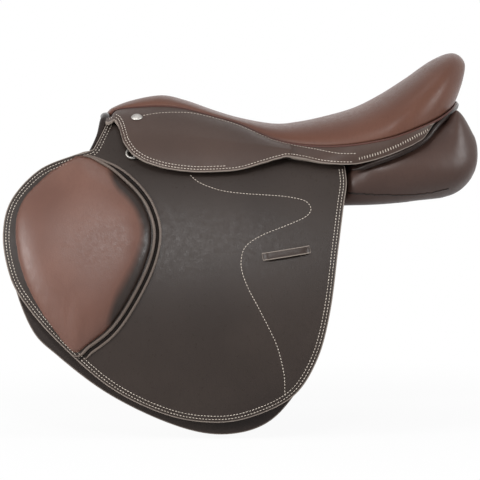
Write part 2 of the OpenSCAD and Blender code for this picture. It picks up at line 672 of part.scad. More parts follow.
// Safety catch at the open end of the blade, on a pin
catch_l = bar_h * 0.75;
module left_bar_catch() {
    color("#b4b7b9") on_side(bar_x, bar_z, plate_r1) difference() {
        translate([knuckle_x, -blade_y - lap_t, 0]) union() {
            rotate([-90, 0, 0]) cylinder(r = knuckle_r, h = lap_t);
            translate([0, 0, -knuckle_r]) cube([catch_l, lap_t, knuckle_r]);
            translate([catch_l, 0, -knuckle_r / 2]) rotate([-90, 0, 0]) cylinder(r = knuckle_r / 2, h = lap_t);
        }
        translate([knuckle_x, -blade_y - bar_t - over, 0]) rotate([-90, 0, 0])
            cylinder(r = catch_pin_r + pin_gap, h = bar_t + 2 * over);
    }
}
module right_bar_catch() {
    other_side() left_bar_catch();
}
module left_catch_pin() {
    color("#7d7f82") on_side(bar_x, bar_z, plate_r1)
        translate([knuckle_x, -blade_y - bar_t, 0]) rotate([-90, 0, 0]) cylinder(r = catch_pin_r, h = bar_t);
}
module right_catch_pin() {
    other_side() left_catch_pin();
}

// Dee ring in front of the skirt, on a staple
dee_z_share = 0.2255;
dee_x = bar_x - bar_l / 2 - dee_ahead;
dee_z = flap_drop * dee_z_share;
dee_lift = dee_wire;
staple_h = dee_w * 0.36;
module left_dee() {
    color("#c2c0ba") on_side(dee_x, dee_z, flap_r1) translate([0, -dee_lift, 0]) union() {
        translate([0, 0, -dee_w / 2]) cylinder(d = dee_wire, h = dee_w);
        for (s = [-1, 1]) translate([0, 0, s * dee_w / 2]) {
            rotate([0, -90, 0]) cylinder(d = dee_wire, h = dee_wire);
            sphere(d = dee_wire);
        }
        translate([-dee_wire, 0, 0]) rotate([90, 0, 0]) rotate([0, 0, 90])
            rotate_extrude(angle = 180) translate([dee_w / 2, 0]) circle(d = dee_wire);
    }
}
module right_dee() {
    other_side() left_dee();
}
module left_dee_staple() {
    color("#b5b2ac") on_side(dee_x, dee_z, flap_r1) difference() {
        union() {
            translate([-dee_wire, -dee_lift, -staple_h / 2])
                cube([2 * dee_wire, dee_lift - skin_gap, staple_h]);
            translate([0, -dee_lift, -staple_h / 2]) cylinder(r = dee_wire, h = staple_h);
        }
        translate([0, -dee_lift, -staple_h]) cylinder(d = dee_wire + 2 * pin_gap, h = 2 * staple_h);
    }
}
module right_dee_staple() {
    other_side() left_dee_staple();
}

// Girth straps: three a side, sewn to webs that hang from the tree
billet_x_share = -0.12;
billet_x = seat_l * billet_x_share;
billet_top_share = 0.125;
billet_end_share = -0.83;
billet_top = flap_drop * billet_top_share;
billet_end = flap_drop * billet_end_share;
web_end = billet_top / 2;
web_over = billet_w * 0.2;
web_steps = 6;
module girth_web(x0, x1) {
    limit = x0 < arm_x1 ? arm_z0 - skin_gap : seat_h;
    top = [for (k = [0 : web_steps]) let (x = mix(x1, x0, k / web_steps)) [x, min(limit, under_tree(x))]];
    color("#b9a98a") side_sheet(web_r0, web_r1, concat(top, [[x0, web_end], [x1, web_end]]));
}
module left_girth_webs() {
    half = billet_w / 2 + web_over;
    girth_web(billet_x - billet_pitch - half, billet_x - billet_pitch + half);
    girth_web(billet_x - half, billet_x + billet_pitch + half);
}
module right_girth_webs() {
    other_side() left_girth_webs();
}
module left_billet(i) {
    x = billet_x + i * billet_pitch;
    w = billet_w / 2;
    color("#463229") difference() {
        side_sheet(billet_r0, billet_r1, [[x - w, billet_top], [x + w, billet_top], [x + w, billet_end + w],
            [x + w / 2, billet_end + w / 4], [x, billet_end],
            [x - w / 2, billet_end + w / 4], [x - w, billet_end + w]]);
        for (k = [1 : billet_holes]) on_side(x, billet_end + billet_w / 2 + k * billet_hole_pitch, billet_r1)
            translate([0, -over, 0]) rotate([-90, 0, 0]) cylinder(r = billet_hole_r, h = billet_t + 2 * over);
    }
}
module left_front_billet() {
    left_billet(-1);
}
module left_middle_billet() {
    left_billet(0);
}
module left_rear_billet() {
    left_billet(1);
}
module right_front_billet() {
    other_side() left_billet(-1);
}
module right_middle_billet() {
    other_side() left_billet(0);
}
module right_rear_billet() {
    other_side() left_billet(1);
}

// Panels: stuffed cushions, each a row of rounded sections from the points to the rear gusset
panel_x_shares = [0, 0.01, 0.047, 0.118, 0.28, 0.484, 0.646, 0.728, 0.829, 0.921, 0.967, 0.992, 1];
panel_y_shares = [0.59, 0.598, 0.625, 0.652, 0.661, 0.652, 0.67, 0.687, 0.687, 0.616, 0.59, 0.58, 0.58];
panel_z_shares = [0.38, 0.375, 0.355, 0.345, 0.325, 0.248, 0.28, 0.335, 0.395, 0.44, 0.48, 0.51, 0.52];
panel_face_shares = [0.3, 0.66, 0.83, 0.87, 0.9, 0.855, 0.836, 0.855, 0.873, 0.84, 0.69, 0.42, 0.18];
panel_swell_shares = [0.15, 0.34, 0.47, 0.53, 0.55, 0.5, 0.62, 0.83, 1, 1, 0.79, 0.47, 0.2];
panel_tilts = [55, 54, 52, 50, 42, 33, 33, 38, 48, 60, 65, 65, 65];
panel_x0_share = -0.484;
panel_x0 = panel_l * panel_x0_share;
panel_steps = 3;
panel_around = 18;
panel_round_share = 0.714;
function panel_mid(t) = [panel_x0 + panel_l * at(panel_x_shares, t), -panel_w * at(panel_y_shares, t),
    panel_h * at(panel_z_shares, t)];
function panel_along(t) =
    let (a = at(panel_tilts, t))
    [0, -cos(a), -sin(a)] * panel_face / 2 * at(panel_face_shares, t);
function panel_out(t) =
    let (a = at(panel_tilts, t))
    [0, -sin(a), cos(a)] * panel_swell / 2 * at(panel_swell_shares, t);
function rounded(v) = sign(v) * pow(abs(v), panel_round_share);
// A point held inside the barrel where the sweat flap lies on the panel
function held(p) =
    let (q = [p.y - side_y0, p.z - side_z0], k = min(1, (barrel_r + free(p.x) * panel_w) / norm(q)))
    [p.x, side_y0 + q.x * k, side_z0 + q.y * k];
function panel_row(t) =
    [for (k = [0 : panel_around - 1])
        let (a = k * 360 / panel_around)
        held(panel_mid(t) + panel_along(t) * rounded(cos(a)) + panel_out(t) * rounded(sin(a)))];
module left_panel() {
    rows = [for (k = [0 : (len(panel_x_shares) - 1) * panel_steps]) panel_row(k / panel_steps)];
    color("#463731") skin(rows);
}
module right_panel() {
    other_side() left_panel();
}

// Gullet lining: the leather that joins the two panels over the channel
lining_t = cover_t;
lining_rise_share = 0.12;
lining_rise = gullet_half_w * lining_rise_share;
lining_t0 = 3.4;
lining_t1 = 9.4;
lining_across = 6;
module gullet_lining() {
    grid = function (d) [for (k = [0 : round((lining_t1 - lining_t0) * panel_steps)])
        let (t = lining_t0 + k / panel_steps, p = held(panel_mid(t) - panel_along(t)))
        [for (j = [0 : lining_across]) let (s = 2 * j / lining_across - 1)
            [p.x, -s * (p.y + 2 * skin_gap), p.z + lining_rise * (1 - s * s) + d]]];
    color("#463731") slab(grid(lining_t), grid(0));
}

// Pommel facing: the leather over the front of the head
facing_t = cover_t * 2.5;
facing_x_shares = [0.017, 0.001, -0.0175];
facing_z_shares = [1.029, 0.852, 0.681];
function facing_point(i) = [seat_x0 + seat_l * facing_x_shares[i], seat_h * facing_z_shares[i]];
module left_facing() {
    back = [for (i = [0 : 2]) facing_point(i)];
    front = [for (i = [2 : -1 : 0]) back[i] + [-facing_t, 0]];
    side_sheet(web_r0, flap_r1, concat(back, front));
}
module pommel_facing() {
    z = facing_point(0).y - facing_t;
    lean = facing_t / (facing_point(0).y - facing_point(1).y);
    x = mix(facing_point(0).x, facing_point(1).x, lean);
    rise = at(edge, 0).z - welt_d;
    y = (side_y(web_r0, z) + side_y(flap_r1, z)) / 2;
    half = seat_w * 0.12;
    color("#3c2c26") union() {
        left_facing();
        other_side() left_facing();
        translate([x - facing_t * 0.9, 0, 0]) rotate([90, 0, 90]) linear_extrude(height = facing_t * 0.8)
            polygon([[y, z], [-half, rise], [half, rise], [-y, z], [-y, z - facing_t * 0.7],
                [half, rise - facing_t], [-half, rise - facing_t], [y, z - facing_t * 0.7]]);
    }
}

tree();
head_plate();
head_rivets();
seat_webbing();
seat_foam();
seat_cover();
left_seat_welt();
right_seat_welt();
left_skirt_top();
right_skirt_top();
cantle_welt();
pommel_facing();
saddle_nails();
gullet_lining();
left_panel();
right_panel();
left_sweat_flap();
right_sweat_flap();
left_flap_head();
right_flap_head();
left_girth_webs();
right_girth_webs();
left_stirrup_bar();
right_stirrup_bar();
bar_rivets();
left_catch_pin();
right_catch_pin();
left_dee_staple();
right_dee_staple();
left_flap();
left_knee_pad();
left_keeper();
right_flap();
right_knee_pad();
right_keeper();
left_skirt();
right_skirt();
left_bar_catch();
right_bar_catch();
left_dee();
right_dee();
left_front_billet();
left_middle_billet();
left_rear_billet();
right_front_billet();
right_middle_billet();
right_rear_billet();
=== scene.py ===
# A jumping saddle, seen from the near side. Metres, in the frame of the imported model:
# +X towards the cantle, -Y the near side, +Z up.
import math

import bmesh
import bpy
from mathutils import Matrix, Vector
from mathutils.bvhtree import BVHTree
from mathutils.kdtree import KDTree


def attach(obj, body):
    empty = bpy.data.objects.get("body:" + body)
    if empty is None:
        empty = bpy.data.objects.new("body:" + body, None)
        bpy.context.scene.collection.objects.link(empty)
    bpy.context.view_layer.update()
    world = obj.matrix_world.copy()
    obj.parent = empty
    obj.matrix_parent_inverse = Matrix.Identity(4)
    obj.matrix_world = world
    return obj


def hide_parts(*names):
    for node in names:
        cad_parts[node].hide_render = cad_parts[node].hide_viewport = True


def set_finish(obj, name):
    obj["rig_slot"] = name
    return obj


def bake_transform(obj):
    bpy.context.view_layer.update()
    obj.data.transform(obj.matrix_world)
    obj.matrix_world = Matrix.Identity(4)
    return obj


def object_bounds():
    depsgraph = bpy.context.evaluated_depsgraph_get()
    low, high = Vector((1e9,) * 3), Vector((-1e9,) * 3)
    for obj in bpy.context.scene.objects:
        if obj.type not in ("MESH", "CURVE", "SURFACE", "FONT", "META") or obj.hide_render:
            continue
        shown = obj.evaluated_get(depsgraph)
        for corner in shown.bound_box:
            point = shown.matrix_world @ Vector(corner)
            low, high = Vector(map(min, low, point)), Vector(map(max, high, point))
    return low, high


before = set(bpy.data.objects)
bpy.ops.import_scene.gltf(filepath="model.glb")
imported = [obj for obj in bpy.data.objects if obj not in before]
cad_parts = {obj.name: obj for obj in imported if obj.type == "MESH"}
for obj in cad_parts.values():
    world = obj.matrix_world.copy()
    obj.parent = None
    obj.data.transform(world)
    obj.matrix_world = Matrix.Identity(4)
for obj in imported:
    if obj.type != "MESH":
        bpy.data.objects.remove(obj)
cad_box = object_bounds()
scene = bpy.context.scene
scene.view_settings.view_transform = "Standard"


# The view: the near side with the pommel to the left, a little above level, from well back.
# A pale floor runs back to white, and soft lamps hang in front, at both sides, above and behind.
look_at = Vector((-0.0574, 0.0, -0.054))
look_down = math.radians(3.0)
look_from = 3.6
view_wide = 0.6408
floor_gap = 0.012


def placed(name, data):
    """An object in the scene."""
    made = bpy.data.objects.new(name, data)
    scene.collection.objects.link(made)
    return made


camera = placed("camera", bpy.data.cameras.new("camera"))
camera.data.lens = camera.data.sensor_width * look_from / view_wide
camera.location = look_at + look_from * Vector((0.0, -math.cos(look_down), math.sin(look_down)))
camera.rotation_euler = (math.radians(90.0) - look_down, 0.0, 0.0)
scene.camera = camera


def add(tree, kind, values=(), **settings):
    """One shader node in a tree, with its settings; its inputs get links from sockets, or plain values."""
    made = tree.nodes.new(kind)
    for key, value in settings.items():
        setattr(made, key, value)
    for key, value in values:
        if isinstance(value, bpy.types.NodeSocket):
            tree.links.new(value, made.inputs[key])
        else:
            made.inputs[key].default_value = value
    return made


def sums(tree, operation, a, b):
    """One Math node; each side is a socket or a plain number."""
    return add(tree, "ShaderNodeMath", [(0, a), (1, b)], operation=operation).outputs[0]


def spread(tree, value, low, high, to_low, to_high):
    """A value stretched from one range to another, and held there."""
    ranges = [(0, value), (1, low), (2, high), (3, to_low), (4, to_high)]
    return add(tree, "ShaderNodeMapRange", ranges).outputs[0]


def seen_white(tree):
    """1 for camera, glossy and transmitted rays: a white backdrop without more light on the saddle."""
    path = add(tree, "ShaderNodeLightPath").outputs
    seen = sums(tree, "MAXIMUM", path["Is Camera Ray"], path["Is Glossy Ray"])
    return sums(tree, "MAXIMUM", seen, path["Is Transmission Ray"])


def between(tree, share, a, b):
    """A mix of two shader nodes."""
    return add(tree, "ShaderNodeMixShader", [(0, share), (1, a.outputs[0]), (2, b.outputs[0])]).outputs[0]


scene.world = bpy.data.worlds.new("studio")
scene.world.use_nodes = True
sky = scene.world.node_tree
sky.nodes.clear()
sky_light = add(sky, "ShaderNodeBackground", [("Color", (0.93, 0.95, 1.0, 1.0)), ("Strength", 0.1)])
plain_white = [("Color", (1.0, 1.0, 1.0, 1.0)), ("Strength", 1.0)]
sky_white = add(sky, "ShaderNodeBackground", plain_white)
add(sky, "ShaderNodeOutputWorld", [(0, between(sky, seen_white(sky), sky_light, sky_white))])

floor_paint = bpy.data.materials.new("pale_floor")
floor_paint.use_nodes = True
ground = floor_paint.node_tree
ground.nodes.clear()
floor_matt = add(ground, "ShaderNodeBsdfDiffuse", [("Color", (0.86, 0.86, 0.86, 1.0))])
floor_glow = add(ground, "ShaderNodeEmission", plain_white)
floor_place = add(ground, "ShaderNodeTexCoord").outputs["Object"]
floor_far = add(ground, "ShaderNodeVectorMath", [(0, floor_place)], operation="LENGTH")
floor_fade = spread(ground, floor_far.outputs["Value"], 0.3, 0.9, 0.93, 1.0)
floor_share = sums(ground, "MULTIPLY", seen_white(ground), floor_fade)
add(ground, "ShaderNodeOutputMaterial", [(0, between(ground, floor_share, floor_matt, floor_glow))])
bm = bmesh.new()
floor_at = Matrix.Translation((0, 0, cad_box[0].z - floor_gap))
bmesh.ops.create_grid(bm, x_segments=1, y_segments=1, size=9.0, matrix=floor_at)


def mesh_of(name, bm, finish):
    """A mesh from a bmesh, with one material."""
    mesh = bpy.data.meshes.new(name)
    bm.to_mesh(mesh)
    bm.free()
    mesh.materials.append(finish)
    return mesh


floor = placed("floor", mesh_of("floor", bm, floor_paint))

lamps = (
    ("key", (-0.22, -1.45, 1.0), 0.36, 9.5),
    ("left", (-1.75, -1.2, 0.6), 0.9, 36.0),
    ("right", (1.75, -0.85, 0.75), 0.8, 24.0),
    ("top", (0.0, -0.2, 2.2), 0.8, 5.0),
    ("back", (0.6, 2.4, 1.3), 1.6, 3.0),
)
for name, place, size, power in lamps:
    lamp = placed(name, bpy.data.lights.new(name, "AREA"))
    lamp.data.shape = "SQUARE"
    lamp.data.size = size
    lamp.data.energy = power
    lamp.location = place
    lamp.rotation_euler = (look_at - Vector(place)).to_track_quat("-Z", "Y").to_euler()


# The tree: a moulded arch with shoulders, under the seat, its rivets and steel head plate.
# The stirrup bars are forged steel, with a catch on a pin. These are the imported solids, given their finishes.
def blank_group(name, takes):
    """An empty shader group that gives colour, roughness and height: the group, the object's coordinates
    inside it, and each socket it takes. Sockets whose names start with Colour are colours."""
    group = bpy.data.node_groups.new(name, "ShaderNodeTree")
    for way, rows in (("INPUT", takes), ("OUTPUT", ("Colour", "Roughness", "Height"))):
        for label in rows:
            kind = "NodeSocketColor" if label.startswith("Colour") else "NodeSocketFloat"
            group.interface.new_socket(label, in_out=way, socket_type=kind)
    taken = add(group, "NodeGroupInput").outputs
    return group, add(group, "ShaderNodeTexCoord").outputs["Object"], *[taken[label] for label in takes]


def gives(group, colour, rough, height):
    """Hands a group's colour, roughness and height out of it."""
    add(group, "NodeGroupOutput", [("Colour", colour), ("Roughness", rough), ("Height", height)])


def colours(tree, a, b, share):
    """A mix of two colours."""
    return add(tree, "ShaderNodeMix", [(6, a), (7, b), (0, share)], data_type="RGBA").outputs[2]


def noise(tree, scale, detail, where, rough=0.5):
    values = [("Vector", where), ("Scale", scale), ("Detail", detail), ("Roughness", rough)]
    return add(tree, "ShaderNodeTexNoise", values).outputs[0]


handled, where, colour, tarnish, gloss = blank_group("handled_metal", ["Colour", "Colour tarnish", "Gloss"])
drawn = add(handled, "ShaderNodeMapping", [("Vector", where), ("Scale", (60.0, 900.0, 900.0))])
lines = noise(handled, 1.0, 3.0, drawn.outputs[0])
dull = spread(handled, noise(handled, 70.0, 4.0, where), 0.48, 0.7, 0.0, 1.0)
rough = add(handled, "ShaderNodeMath", [(0, lines), (1, 0.12), (2, -0.03)], operation="MULTIPLY_ADD").outputs[0]
rough = sums(handled, "ADD", sums(handled, "ADD", rough, gloss), sums(handled, "MULTIPLY", dull, 0.12))
gives(handled, colours(handled, colour, tarnish, dull), rough, lines)


def new_finish(name, group, values, bump, **shader_values):
    """A material: its group gives colour, roughness and height, and the shader keeps its own plain numbers."""
    finish = bpy.data.materials.new(name)
    finish.use_nodes = True
    tree = finish.node_tree
    shader = tree.nodes["Principled BSDF"]
    for key, value in shader_values.items():
        shader.inputs[key.replace("_", " ")].default_value = value
    made = add(tree, "ShaderNodeGroup", values, node_tree=group).outputs
    relief = add(tree, "ShaderNodeBump", [("Strength", bump[0]), ("Distance", bump[1]), ("Height", made["Height"])])
    tree.links.new(made["Colour"], shader.inputs["Base Color"])
    tree.links.new(made["Roughness"], shader.inputs["Roughness"])
    tree.links.new(relief.outputs[0], shader.inputs["Normal"])
    return finish


def metal(name, colour, tarnish, gloss):
    values = [("Colour", colour), ("Colour tarnish", tarnish), ("Gloss", gloss)]
    return new_finish(name, handled, values, (0.08, 0.0002), Metallic=1.0)


plain_steel = metal("plain_steel", (0.4, 0.41, 0.42, 1), (0.26, 0.25, 0.24, 1), 0.38)
forged_steel = metal("forged_steel", (0.52, 0.52, 0.51, 1), (0.36, 0.35, 0.33, 1), 0.26)
nickel = metal("nickel", (0.36, 0.345, 0.325, 1), (0.27, 0.255, 0.235, 1), 0.45)

moulded, where, colour, scuff = blank_group("moulded", ["Colour", "Colour scuff"])
pits = noise(moulded, 900.0, 2.0, where)
scuffs = spread(moulded, noise(moulded, 30.0, 6.0, where, 0.65), 0.55, 0.75, 0.0, 0.6)
gives(moulded, colours(moulded, colour, scuff, scuffs), spread(moulded, pits, 0.3, 0.7, 0.5, 0.68), pits)
tree_moulding = new_finish("tree_moulding", moulded, [("Colour", (0.018, 0.018, 0.019, 1)),
                           ("Colour scuff", (0.05, 0.05, 0.05, 1))], (0.2, 0.0004))


def dress(finish, *names):
    """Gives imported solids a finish."""
    for name in names:
        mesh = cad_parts[name].data
        mesh.materials.clear()
        mesh.materials.append(finish)


dress(tree_moulding, "tree")
dress(plain_steel, "head_plate", "head_rivets", "bar_rivets", "left_catch_pin", "right_catch_pin")
dress(forged_steel, "left_stirrup_bar", "right_stirrup_bar", "left_bar_catch", "right_bar_catch")


# Webbing: woven linen straps, nailed across the tree's opening, and the girth webs that hang from the tree.
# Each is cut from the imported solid, with its edges rounded over.
weave, where, colour, gap, threads = blank_group("weave", ["Colour", "Colour gap", "Threads"])
parts = add(weave, "ShaderNodeSeparateXYZ", [(0, where)]).outputs
warp, weft = [sums(weave, "SINE", sums(weave, "MULTIPLY", parts[way], threads), 0.0) for way in "XZ"]
cross = sums(weave, "MULTIPLY", warp, weft)
height = spread(weave, cross, -1.0, 1.0, 0.0, 1.0)
gives(weave, colours(weave, gap, colour, height), spread(weave, cross, -1.0, 1.0, 0.95, 0.8), height)
linen = new_finish("linen_webbing", weave, [("Colour", (0.42, 0.35, 0.24, 1)), ("Colour gap", (0.17, 0.13, 0.085, 1)),
                   ("Threads", 2600.0)], (0.6, 0.0006), Sheen_Weight=0.2)


def piece(name, bm, finish, slot):
    """A mesh from a bmesh as a piece of the saddle, smooth shaded."""
    made = placed(name, mesh_of(name, bm, finish))
    made.data.shade_smooth()
    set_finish(made, slot)
    return made


def off_side(near, name):
    """The same piece for the off side."""
    mesh = near.data.copy()
    mesh.name = name
    mesh.transform(Matrix.Diagonal((1.0, -1.0, 1.0, 1.0)))
    mesh.flip_normals()
    made = placed(name, mesh)
    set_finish(made, near["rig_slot"])
    return made


def both(near):
    """The near side's piece and its copy for the off side, each with the name of its side."""
    return (near, "left"), (off_side(near, near.name.replace("left", "right", 1)), "right")


def across(place):
    """A place on the off side."""
    return Vector((place.x, -place.y, place.z))


def tree_of(places):
    """A tree that finds the nearest of some points."""
    tree = KDTree(len(places))
    for index, place in enumerate(places):
        tree.insert(place, index)
    tree.balance()
    return tree


def round_rim(bm, radius, near=None, reach=0.004):
    """Rounds the cut edges of a strap or a hide and marks what is within reach of them, for the edge colour: a real
    dark dye on some hides and a painted highlight on others.
    near keeps it to edges by a line of points."""
    bm.normal_update()
    rims = [edge for edge in bm.edges if edge.is_manifold and edge.calc_face_angle(0.0) > 0.9]
    if near:
        rims = [edge for edge in rims if max(near.find(vert.co)[2] for vert in edge.verts) < 4.5 * radius]
    tree = tree_of([vert.co.copy() for edge in rims for vert in edge.verts])
    bmesh.ops.bevel(bm, geom=rims, offset=radius, offset_type="OFFSET", segments=2, profile=0.5, affect="EDGES",
                    material=-1, clamp_overlap=True)
    layer = bm.verts.layers.float.new("rim")
    for vert in bm.verts:
        vert[layer] = max(0.0, 1.0 - tree.find(vert.co)[2] / reach)


def from_solid(name, node, finish, slot, radius):
    """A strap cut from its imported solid, with the edges rounded."""
    bm = bmesh.new()
    bm.from_mesh(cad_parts[node].data)
    bmesh.ops.remove_doubles(bm, verts=bm.verts[:], dist=1e-5)
    round_rim(bm, radius)
    made = piece(name, bm, finish, slot)
    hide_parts(node)
    return made


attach(from_solid("seat_straps", "seat_webbing", linen, "webbing", 0.0003), "saddle")
for side in ("left", "right"):
    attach(from_solid(f"{side}_webs", f"{side}_girth_webs", linen, "webbing", 0.0003), "saddle")


# The seat: smooth hide drawn tight over foam, one form from the pommel's lip to the cantle.
# It is narrow and level at the twist, dips, widens and climbs, and is tacked under its edge.
def through(row, t):
    """The value at t along a smooth line through a row of numbers or points."""
    n = len(row) - 1
    i = min(int(t), n - 1)
    f = t - i
    a, b, c, d = row[max(i - 1, 0)], row[i], row[i + 1], row[min(i + 2, n)]
    return b + f * ((c - a) / 2 + f * ((a - 2.5 * b + 2 * c - d / 2) + f * ((d - a) / 2 + 1.5 * (b - c))))


def line_through(row, steps):
    """A smooth line through a row of points, with a number of steps between each two."""
    return [through(row, k / steps) for k in range((len(row) - 1) * steps + 1)]


def mix(a, b, share):
    return a + (b - a) * share


seat_l, seat_w, seat_h = 0.48, 0.25, 0.101
pommel_rise, cantle_rise, seat_side = 0.038, 0.093, 0.086
seat_x0 = -seat_l / 2
seat_low, seat_round = 7, 0.9
crown_x = [0.008, 0.025, 0.083, 0.163, 0.229, 0.313, 0.385, 0.475, 0.542, 0.617, 0.696, 0.767, 0.838, 0.91, 0.967, 1,
           0.998, 0.981]
crown_rise = [0.29, 0.55, 0.83, 1, 0.83, 0.46, 0.2, 0.01, 0.032, 0.113, 0.232, 0.414, 0.646, 0.904, 1.01, 0.892, 0.667,
              0.398]
edge_x = [0.029, 0.044, 0.1, 0.165, 0.227, 0.31, 0.381, 0.463, 0.529, 0.596, 0.663, 0.727, 0.794, 0.863, 0.913, 0.948,
          0.967, 0.975]
edge_y = [0.24, 0.304, 0.344, 0.368, 0.392, 0.432, 0.48, 0.592, 0.704, 0.816, 0.912, 0.976, 1, 0.928, 0.784, 0.56,
          0.304, 0.08]
edge_drop = [0, 0.012, 0.1, 0.163, 0.122, 0.076, 0.076, 0.203, 0.326, 0.448, 0.565, 0.715, 0.885, 1.024, 1.011, 0.762,
             0.43, 0.093]
seat_last = len(crown_x) - 1
crown = [Vector((seat_x0 + seat_l * crown_x[i], 0.0,
                 seat_h + (pommel_rise if i <= seat_low else cantle_rise) * crown_rise[i]))
         for i in range(seat_last + 1)]
edge = [Vector((seat_x0 + seat_l * edge_x[i], -seat_w / 2 * edge_y[i], crown[i].z - seat_side * edge_drop[i]))
        for i in range(seat_last + 1)]


def slope(row, t):
    return (through(row, min(t + 0.05, seat_last)) - through(row, max(t - 0.05, 0.0))).normalized()


def crown_in(t, depth):
    way = slope(crown, t)
    return through(crown, t) + Vector((way.z, 0.0, -way.x)) * depth


def edge_in(t, depth):
    way = slope(edge, t)
    return through(edge, t) + Vector((-way.y, way.x, 0.0)) * depth / math.hypot(way.x, way.y)


def bowed(angle, power):
    """The cosine and sine of an angle, bowed out or in by a power, with their signs kept."""
    return [math.copysign(abs(part) ** power, part) for part in (math.cos(angle), math.sin(angle))]


def seat_point(t, angle, depth):
    """A point of the seat's arch at station t, from the near edge (0) over the crown to the far edge (pi)."""
    e, c = edge_in(t, depth), crown_in(t, depth)
    wide, high = bowed(angle, seat_round)
    return Vector((mix(e.x, c.x, abs(high)), e.y * wide, mix(e.z, c.z, abs(high))))


hide, where, colour, shade, edge_dye_and_painted_light, grain, gloss = blank_group(
    "hide", ["Colour", "Colour shade", "Colour edge", "Grain", "Gloss"])
tone = spread(hide, noise(hide, 8.0, 3.0, where), 0.35, 0.65, 0.0, 1.0)
mottle = noise(hide, 160.0, 4.0, where, 0.6)
pebble = add(hide, "ShaderNodeTexVoronoi", [("Vector", where), ("Scale", grain)]).outputs["Distance"]
creases = spread(hide, pebble, 0.35, 0.7, 0.0, 1.0)
drawn = add(hide, "ShaderNodeMapping", [("Vector", where), ("Scale", (330.0, 330.0, 90.0)),
                                        ("Rotation", (0.0, 0.5, 0.0))])
streaks = noise(hide, 1.0, 4.0, drawn.outputs[0], 0.6)
rim = add(hide, "ShaderNodeAttribute", attribute_name="rim").outputs["Fac"]
skin = colours(hide, shade, colour, tone)
skin = colours(hide, skin, shade, sums(hide, "MULTIPLY", creases, 0.1))
skin = colours(hide, skin, shade, spread(hide, streaks, 0.48, 0.75, 0.0, 0.5))
# Where the rim attribute is high, the edge colour takes over: a real dark dye on some hides, a painted highlight along
# the cut edges of others, and painted shade on the knee pads' rear flanks.
skin = colours(hide, skin, edge_dye_and_painted_light, spread(hide, rim, 0.6, 0.8, 0.0, 1.0))
rough = sums(hide, "ADD", gloss, spread(hide, mottle, 0.3, 0.7, -0.05, 0.06))
rough = sums(hide, "ADD", rough, sums(hide, "MULTIPLY", creases, 0.1))
gives(hide, skin, rough, sums(hide, "SUBTRACT", sums(hide, "MULTIPLY", streaks, 0.9), pebble))
# dark_dye is a real dark edge dye. painted_edge_highlight is a painted highlight: the light line that a glossy rounded
# cut edge shows, laid on as the edge colour.
dark_dye, painted_edge_highlight = (0.03, 0.017, 0.012), (0.24, 0.2, 0.172)


def leather(name, colour, shade, edge_dye_and_painted_light, gloss, grain=1000.0, bump=0.12, shine=0.18):
    return new_finish(name, hide, [("Colour", (*colour, 1)), ("Colour shade", (*shade, 1)), ("Colour edge", (*edge_dye_and_painted_light, 1)),
                      ("Grain", grain), ("Gloss", gloss)], (bump, 0.0005), Specular_IOR_Level=shine)


def eased(value, low, high):
    """0 below low, 1 above high, and a smooth rise between."""
    share = max(0.0, min(1.0, (value - low) / (high - low)))
    return share * share * (3 - 2 * share)


def drawn_down(t, angle, depth):
    """A point of the seat; its last arch, at the back of the cantle, is drawn down flat on to the roll."""
    ends = seat_point(t, 0.0, 0.0), seat_point(t, math.pi, 0.0)
    flat = mix(*ends, (1 - math.cos(angle)) / 2) - Vector((0, 0, depth))
    return mix(seat_point(t, angle, depth), flat, eased(t, seat_last - 0.6, seat_last))


def seat_skin(t, w):
    """A point of the seat's skin: over the top for two thirds of the way round, then back below, between the edges."""
    if w <= 2 / 3 + 1e-6:
        return drawn_down(t, math.pi * min(1.0, w * 1.5), 0.0)
    back = (w - 2 / 3) * 3
    angle = math.pi * (1 - back)
    depth = 0.0 if back > 1 - 1e-6 else 0.003 + 0.013 * math.sin(angle) * min(1.0, t, (seat_last - t) / 3)
    return drawn_down(t, angle, depth)


def grid(columns, rows, lay):
    """A bmesh sheet; lay(u, v) gives each point's place from its shares along and across the sheet."""
    bm = bmesh.new()
    bmesh.ops.create_grid(bm, x_segments=columns, y_segments=rows, size=1.0)
    for vert in bm.verts:
        vert.co = lay((vert.co.x + 1) / 2, (vert.co.y + 1) / 2)
    return bm


def close(bm):
    """Joins the seam of a rolled-up grid, fills its ends and turns its faces outwards."""
    bmesh.ops.remove_doubles(bm, verts=bm.verts[:], dist=1e-6)
    bmesh.ops.holes_fill(bm, edges=[e for e in bm.edges if e.is_boundary], sides=0)
    bmesh.ops.recalc_face_normals(bm, faces=bm.faces[:])


seat_leather = leather("seat_leather", (0.128, 0.058, 0.04), (0.095, 0.041, 0.028), dark_dye, 0.33)
bm = grid(136, 96, lambda u, v: seat_skin(u * seat_last, v))
close(bm)
seat = piece("seat", bm, seat_leather, "seat_leather")
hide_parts("seat_cover", "seat_foam")
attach(seat, "saddle")


# Piping and rolls: strips of hide sewn round a cord, caught in the seam between the seat and the skirt,
# and a thicker roll that closes the back under the cantle, from one skirt to the other.
welt_leather = leather("welt_leather", (0.018, 0.011, 0.009), (0.014, 0.009, 0.007), dark_dye, 0.22, 1400.0)


def level(place, way):
    """The ways across and up for a roll that lies level."""
    out = way.cross(Vector((0, 0, 1))).normalized()
    return out, out.cross(way)


def thinned(least, reach):
    """A taper for a roll: down to a least share at both ends, over a share of its length."""
    return lambda share: mix(least, 1.0, eased(min(share, 1 - share), 0.0, reach))


def rolled(name, path, wide, deep, finish, slot, turns=14, taper=lambda share: 1.0, lie=level):
    """A roll of hide along a path, wide across it and deep upright, times taper(share)."""
    n = len(path) - 1
    rings = []
    for i, place in enumerate(path):
        out, up = lie(place, (path[min(i + 1, n)] - path[max(i - 1, 0)]).normalized())
        rings.append((place, out * wide * taper(i / n) / 2, up * deep * taper(i / n) / 2))

    def lay(u, v):
        place, out, up = rings[round(u * n)]
        return place + out * math.cos(2 * math.pi * v) + up * math.sin(2 * math.pi * v)

    bm = grid(n, turns, lay)
    close(bm)
    return piece(name, bm, finish, slot)


